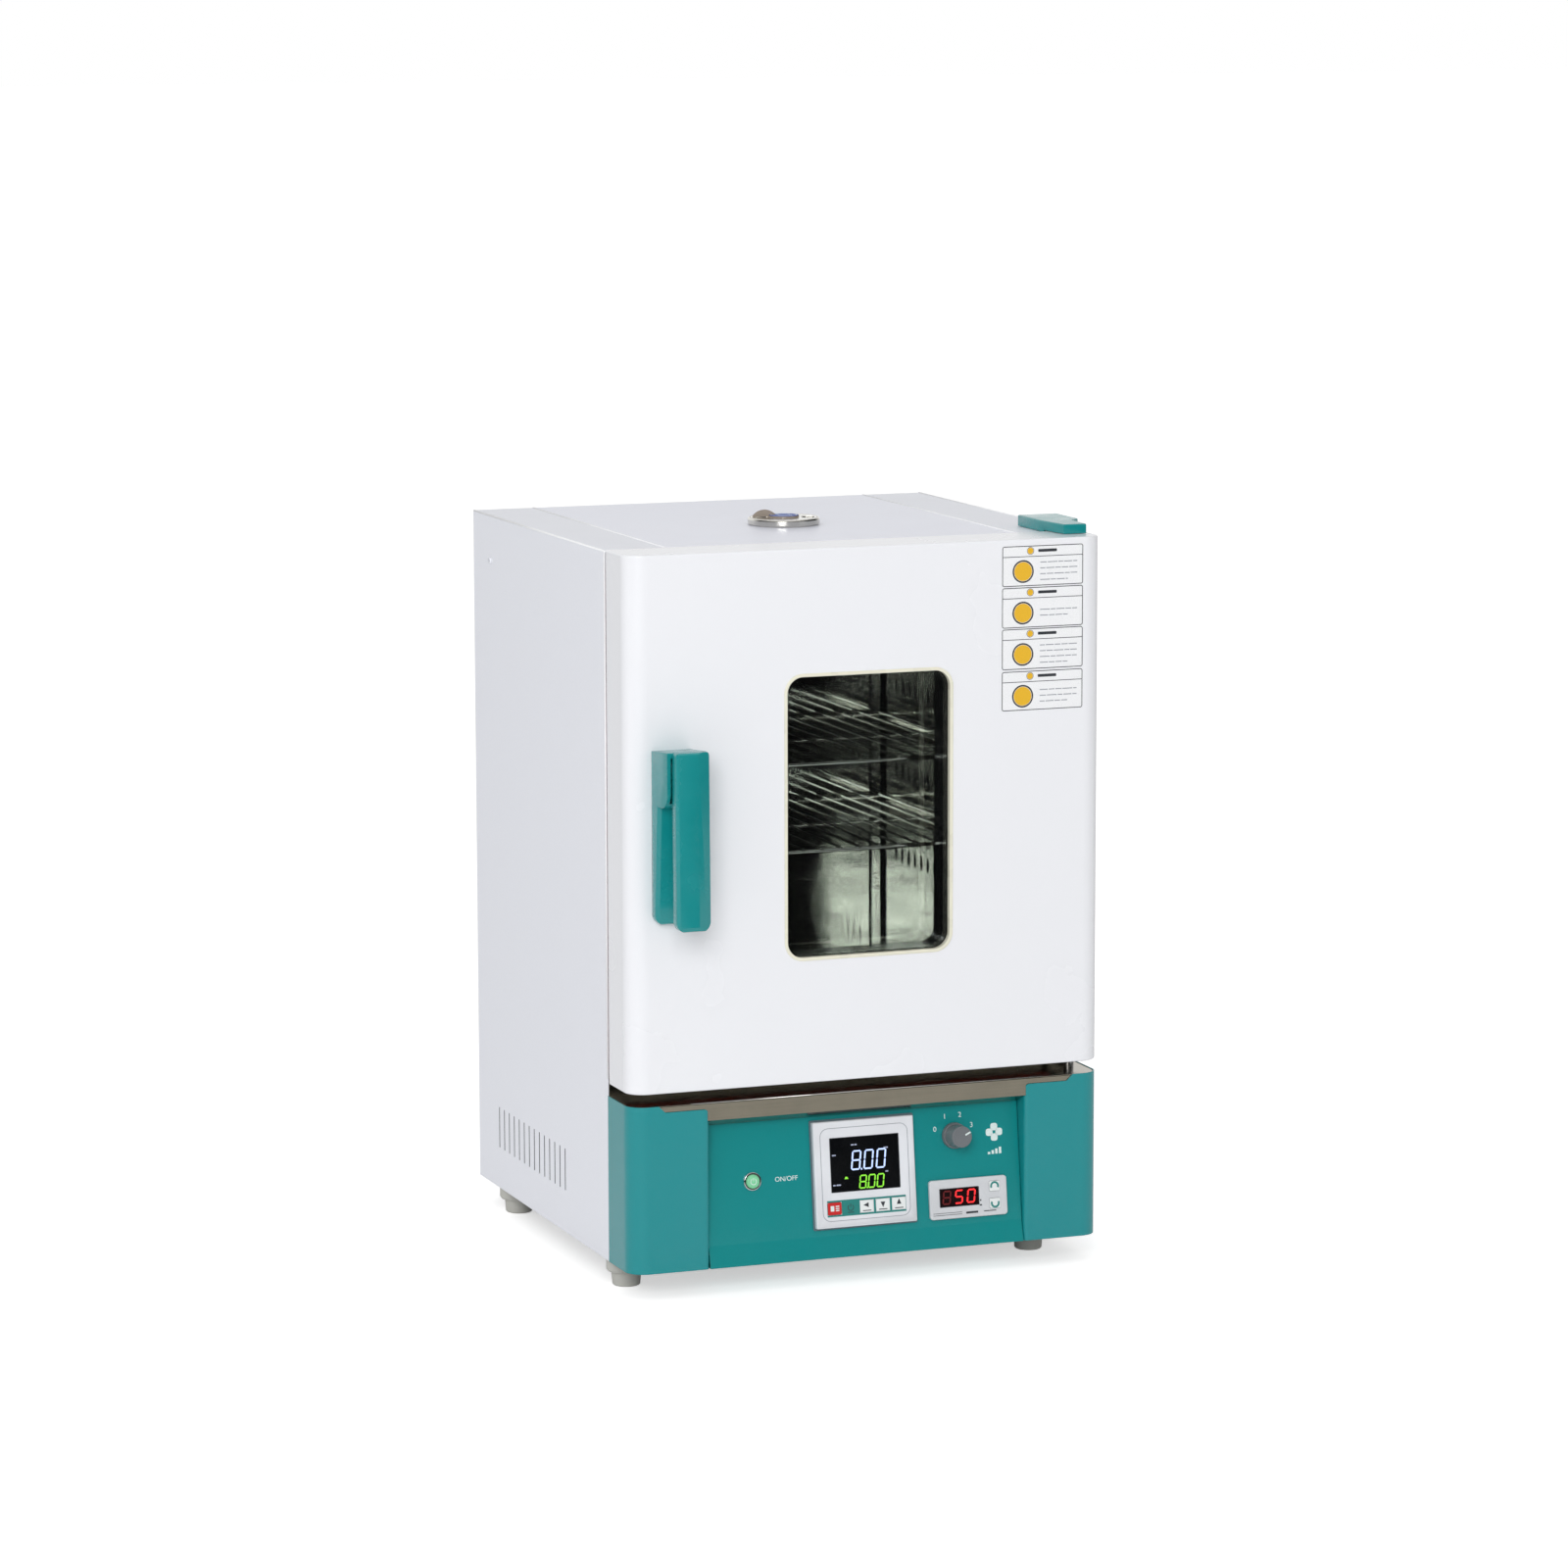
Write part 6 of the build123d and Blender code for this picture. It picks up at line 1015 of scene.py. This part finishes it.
def build_door_labels():
    """Four blank log labels: white film, dark frame, header rule, amber dots and lines of blank words."""
    left, right = LABEL_SIDES
    films, frames, dots, rules = [], [], [], []
    for row, (low, high, lines) in enumerate(LABEL_ROWS):
        centre, size = ((left + right) / 2, (low + high) / 2), (right - left, high - low)
        head, head_middle = high - HEADER_DROP, high - HEADER_MIDDLE
        header_dot, cell_dot = (left + HEADER_DOT_X, head_middle), (left + CELL_DOT_X, (low + head) / 2)
        films.append(rounded_loop(centre, size, 0.0022))
        dots += [round_loop(header_dot, 0.0028, 20), round_loop(cell_dot, 0.0085, 36)]
        frames.append(frame_ring(centre, (size[0] - LABEL_MARGIN, size[1] - LABEL_MARGIN), 0.002, 0.0007))
        frames.append(bar_loop((left + 0.001, head - 0.0006), (right - 0.001, head)))
        frames.append(ring_loops(header_dot, 0.0034, 0.003, 20))
        frames.append(rounded_loop((left + HEADER_BAR_X, head_middle), (0.018, 0.0026), 0.0006, 3))
        frames.append(ring_loops(cell_dot, 0.0102, 0.0088, 36))
        for line in range(lines):
            z = (low + head) / 2 + (line - (lines - 1) / 2) * -LINE_PITCH
            end = right - WORDS_X[1] - SHORT_LINE * (line == lines - 1)
            rules += word_bars(left + WORDS_X[0], end, z, row + 2 * line)
    inlay("log_label_film", films, on_door, PRINT, LABEL_WHITE, "door")
    inlay("log_label_frame", frames, on_door, OVERPRINT, INK_DARK, "door")
    inlay("log_label_dot", dots, on_door, OVERPRINT, INK_AMBER, "door")
    inlay("log_label_rule", rules, on_door, OVERPRINT, INK_GREY, "door")


# Highlight beads on sheet edges, and roof vent

BEAD_SINK = 0.0003
BEAD_FOOT = 0.19
BEAD_STOP = 0.19
LEDGE_HEIGHT = 0.174
LEDGE_REACH = 0.168
ARROW_RADIUS = 0.0072


def build_highlight_beads():
    """White beads, brighter than the paint, on the cabinet's bends and seams, and a bright steel rod along
    the ledge's bend: painted highlight lines.
    """
    low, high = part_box("side_panel_left")
    seam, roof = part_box("roof_panel")[0][0], high[2] - 0.0002
    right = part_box("side_panel_right")[1][0] - BEAD_SINK
    left, front, back = low[0] + BEAD_SINK, low[1] + BEAD_SINK, high[1] - 0.001
    runs = [((x, front, roof), (x, back, roof)) for x in (left, right, seam, -seam)]
    runs += [((left, front, BEAD_FOOT), (left, front, roof)), ((left, front, roof), (BEAD_STOP, front, roof))]
    # Painted highlight: white beads brighter than the paint along the bends and seams.
    bead("highlight_beads", runs, 0.0009, HIGHLIGHT_BEAD_WHITE, "cabinet")
    bend = FRONT + 0.0004
    run = ((-LEDGE_REACH, bend, LEDGE_HEIGHT), (LEDGE_REACH, bend, LEDGE_HEIGHT))
    # Painted highlight: a rod of brighter polished steel along the ledge's bend.
    bead("ledge_bend_highlight", [run], 0.0006, WIRE, "cabinet")


def build_vent_label():
    """Blue disc on the damper's cap, with a pale ring and two turning arrows."""
    centre = middle_of("vent_damper")
    inlay("vent_disc", [round_loop(centre, 0.0134, 48)], on_roof, 0.0004, LABEL_BLUE, "damper")
    arcs = [open_arc(centre, ARROW_RADIUS, 0.0012, start, 110) for start in (20, 200)]
    heads = [arrow_loop(np.array(centre) + ARROW_RADIUS * ray(math.radians(turn)), 0.0024, turn + 90)
             for turn in (134, 314)]
    marks = [ring_loops(centre, 0.0122, 0.0115, 48)] + arcs + heads
    inlay("vent_disc_marks", marks, on_roof, 0.00055, INK_WHITE, "damper")


build_controller_marks()
build_key_strip()
build_limiter_marks()
build_key_marks()
build_panel_marks()
build_pointer()
build_button_mark()
build_door_labels()
build_vent_label()
build_highlight_beads()

for node_name, body_name, roll in (
    ("handle_lever", "handle", 0.0022), ("handle_base", "door", 0.0014), ("hinge_cap", "cabinet", 0.0006),
    ("controller_case", "cabinet", 0.0004), ("limiter_case", "cabinet", 0.0004),
    ("window_trim", "door", 0.0004),
):
    softened(node_name, body_name, roll)


# Floor, light and camera

FLOOR_REACH = 40.0
FLOOR_LIFT = 0.52
FLOOR_EDGE = -1.1
FLOOR_FADE = 0.5
MATT_LEFT = 0.74
MATT_RIGHT = 0.44
ROOM_DARK = 0.02
WHITE_BEHIND = (0.3, 0.75)
WHITE_ABOVE = (0.45, 0.85)
LAMPS = (
    ("Key lamp", (-2.0, -4.2, 2.1), (0, 0, 0.35), 2.0, 96),
    ("Fill lamp", (3.0, -3.4, 2.0), (0, 0, 0.35), 2.0, 5),
    ("Top lamp", (0.0, 0.4, 3.6), (0, 0, 0.3), 3.0, 4),
)
CAMERA_PLACE = (-1.7871, -4.7292, 1.1901)
CAMERA_PITCH = 8.638
CAMERA_ROLL = 0.1139 * math.cos(0.15)
CAMERA_YAW = 20.662
LENS_LENGTH = 128.02
SENSOR_WIDTH = 36.0


def build_floor():
    """A wide pale level sheet under the object, lifted to white where the camera sees it unshadowed. For
    mirrors it ends a metre in front, where the studio is dark."""
    reach = FLOOR_REACH
    corners = [(-reach, -reach, 0.0), (reach, -reach, 0.0), (reach, reach, 0.0), (-reach, reach, 0.0)]
    mesh = bpy.data.meshes.new("floor")
    mesh.from_pydata(corners, [], [(0, 1, 2, 3)])
    made, tree, shader = start_material("Pale floor")
    place = object_place(tree)
    tone = remap(tree, cloud(tree, place, 0.6, 2.0), 0.3, 0.7, 0.9, 0.915)
    fill(tree, shader, Base_Color=tone, Roughness=0.9, Specular_IOR_Level=0.1)
    path = tree.nodes.new("ShaderNodeLightPath").outputs
    lift = put(tree, "ShaderNodeEmission", Strength=times(tree, path["Is Camera Ray"], FLOOR_LIFT))
    lifted = put(tree, "ShaderNodeAddShader", i0=shader.outputs[0], i1=lift.outputs[0])
    mirrored = math_node(tree, "MAXIMUM", path["Is Glossy Ray"], path["Is Transmission Ray"])
    far = remap(tree, three_parts(tree, place)[1], FLOOR_EDGE, FLOOR_EDGE - FLOOR_FADE, 0.0, 1.0)
    beyond = times(tree, mirrored, far)
    dark = put(tree, "ShaderNodeBsdfDiffuse", Color=(ROOM_DARK, ROOM_DARK, ROOM_DARK, 1.0))
    whole = put(tree, "ShaderNodeMixShader", i0=beyond, i1=lifted.outputs[0], i2=dark.outputs[0])
    tree.links.new(whole.outputs[0], only(tree, "ShaderNodeOutputMaterial").inputs[0])
    mesh.materials.append(made)
    floor = bpy.data.objects.new("floor", mesh)
    bpy.context.scene.collection.objects.link(floor)


def build_world():
    """White surroundings where the camera sees them, a level that falls from left to right where they light
    matt surfaces, and for mirrors a studio that is white behind and above and dark in front."""
    world = bpy.data.worlds.new("Studio")
    bpy.context.scene.world = world
    world.use_nodes = True
    tree = world.node_tree
    tree.nodes.clear()
    path = tree.nodes.new("ShaderNodeLightPath").outputs
    mirrored = math_node(tree, "MAXIMUM", path["Is Glossy Ray"], path["Is Transmission Ray"])
    toward = three_parts(tree, tree.nodes.new("ShaderNodeTexCoord").outputs["Generated"])
    behind = remap(tree, toward[1], *WHITE_BEHIND, ROOM_DARK, 1.0)
    above = remap(tree, toward[2], *WHITE_ABOVE, ROOM_DARK, 1.0)
    room = math_node(tree, "MAXIMUM", behind, above)
    matt = remap(tree, toward[0], -1.0, 1.0, MATT_LEFT, MATT_RIGHT)
    unseen = blend_value(tree, mirrored, matt, room)
    level = blend_value(tree, path["Is Camera Ray"], unseen, 1.0)
    sky = put(tree, "ShaderNodeBackground", Color=(1.0, 1.0, 1.0, 1.0), Strength=level)
    end = tree.nodes.new("ShaderNodeOutputWorld")
    tree.links.new(sky.outputs[0], end.inputs[0])


def build_lamp(name, place, aim, size, power):
    """A soft square lamp aimed at a point."""
    light = bpy.data.lights.new(name, "AREA")
    light.shape = "SQUARE"
    light.size = size
    light.energy = power
    lamp = bpy.data.objects.new(name, light)
    bpy.context.scene.collection.objects.link(lamp)
    lamp.location = place
    look = np.array(aim) - np.array(place)
    flat = math.hypot(look[0], look[1])
    lamp.rotation_euler = (math.atan2(flat, -look[2]), 0.0, math.atan2(look[1], look[0]) - math.pi / 2)


def build_camera():
    """A long lens in front of the object and to its left, turned right and down towards it."""
    lens = bpy.data.cameras.new("Photo camera")
    lens.sensor_width = SENSOR_WIDTH
    lens.lens = LENS_LENGTH
    lens.clip_end = 60.0
    camera = bpy.data.objects.new("Photo camera", lens)
    bpy.context.scene.collection.objects.link(camera)
    camera.location = CAMERA_PLACE
    camera.rotation_mode = "XYZ"
    camera.rotation_euler = [math.radians(turn) for turn in (90 - CAMERA_PITCH, CAMERA_ROLL, -CAMERA_YAW)]
    bpy.context.scene.camera = camera


build_floor()
build_world()
for lamp_row in LAMPS:
    build_lamp(*lamp_row)
build_camera()
bpy.context.scene.view_settings.view_transform = "Standard"
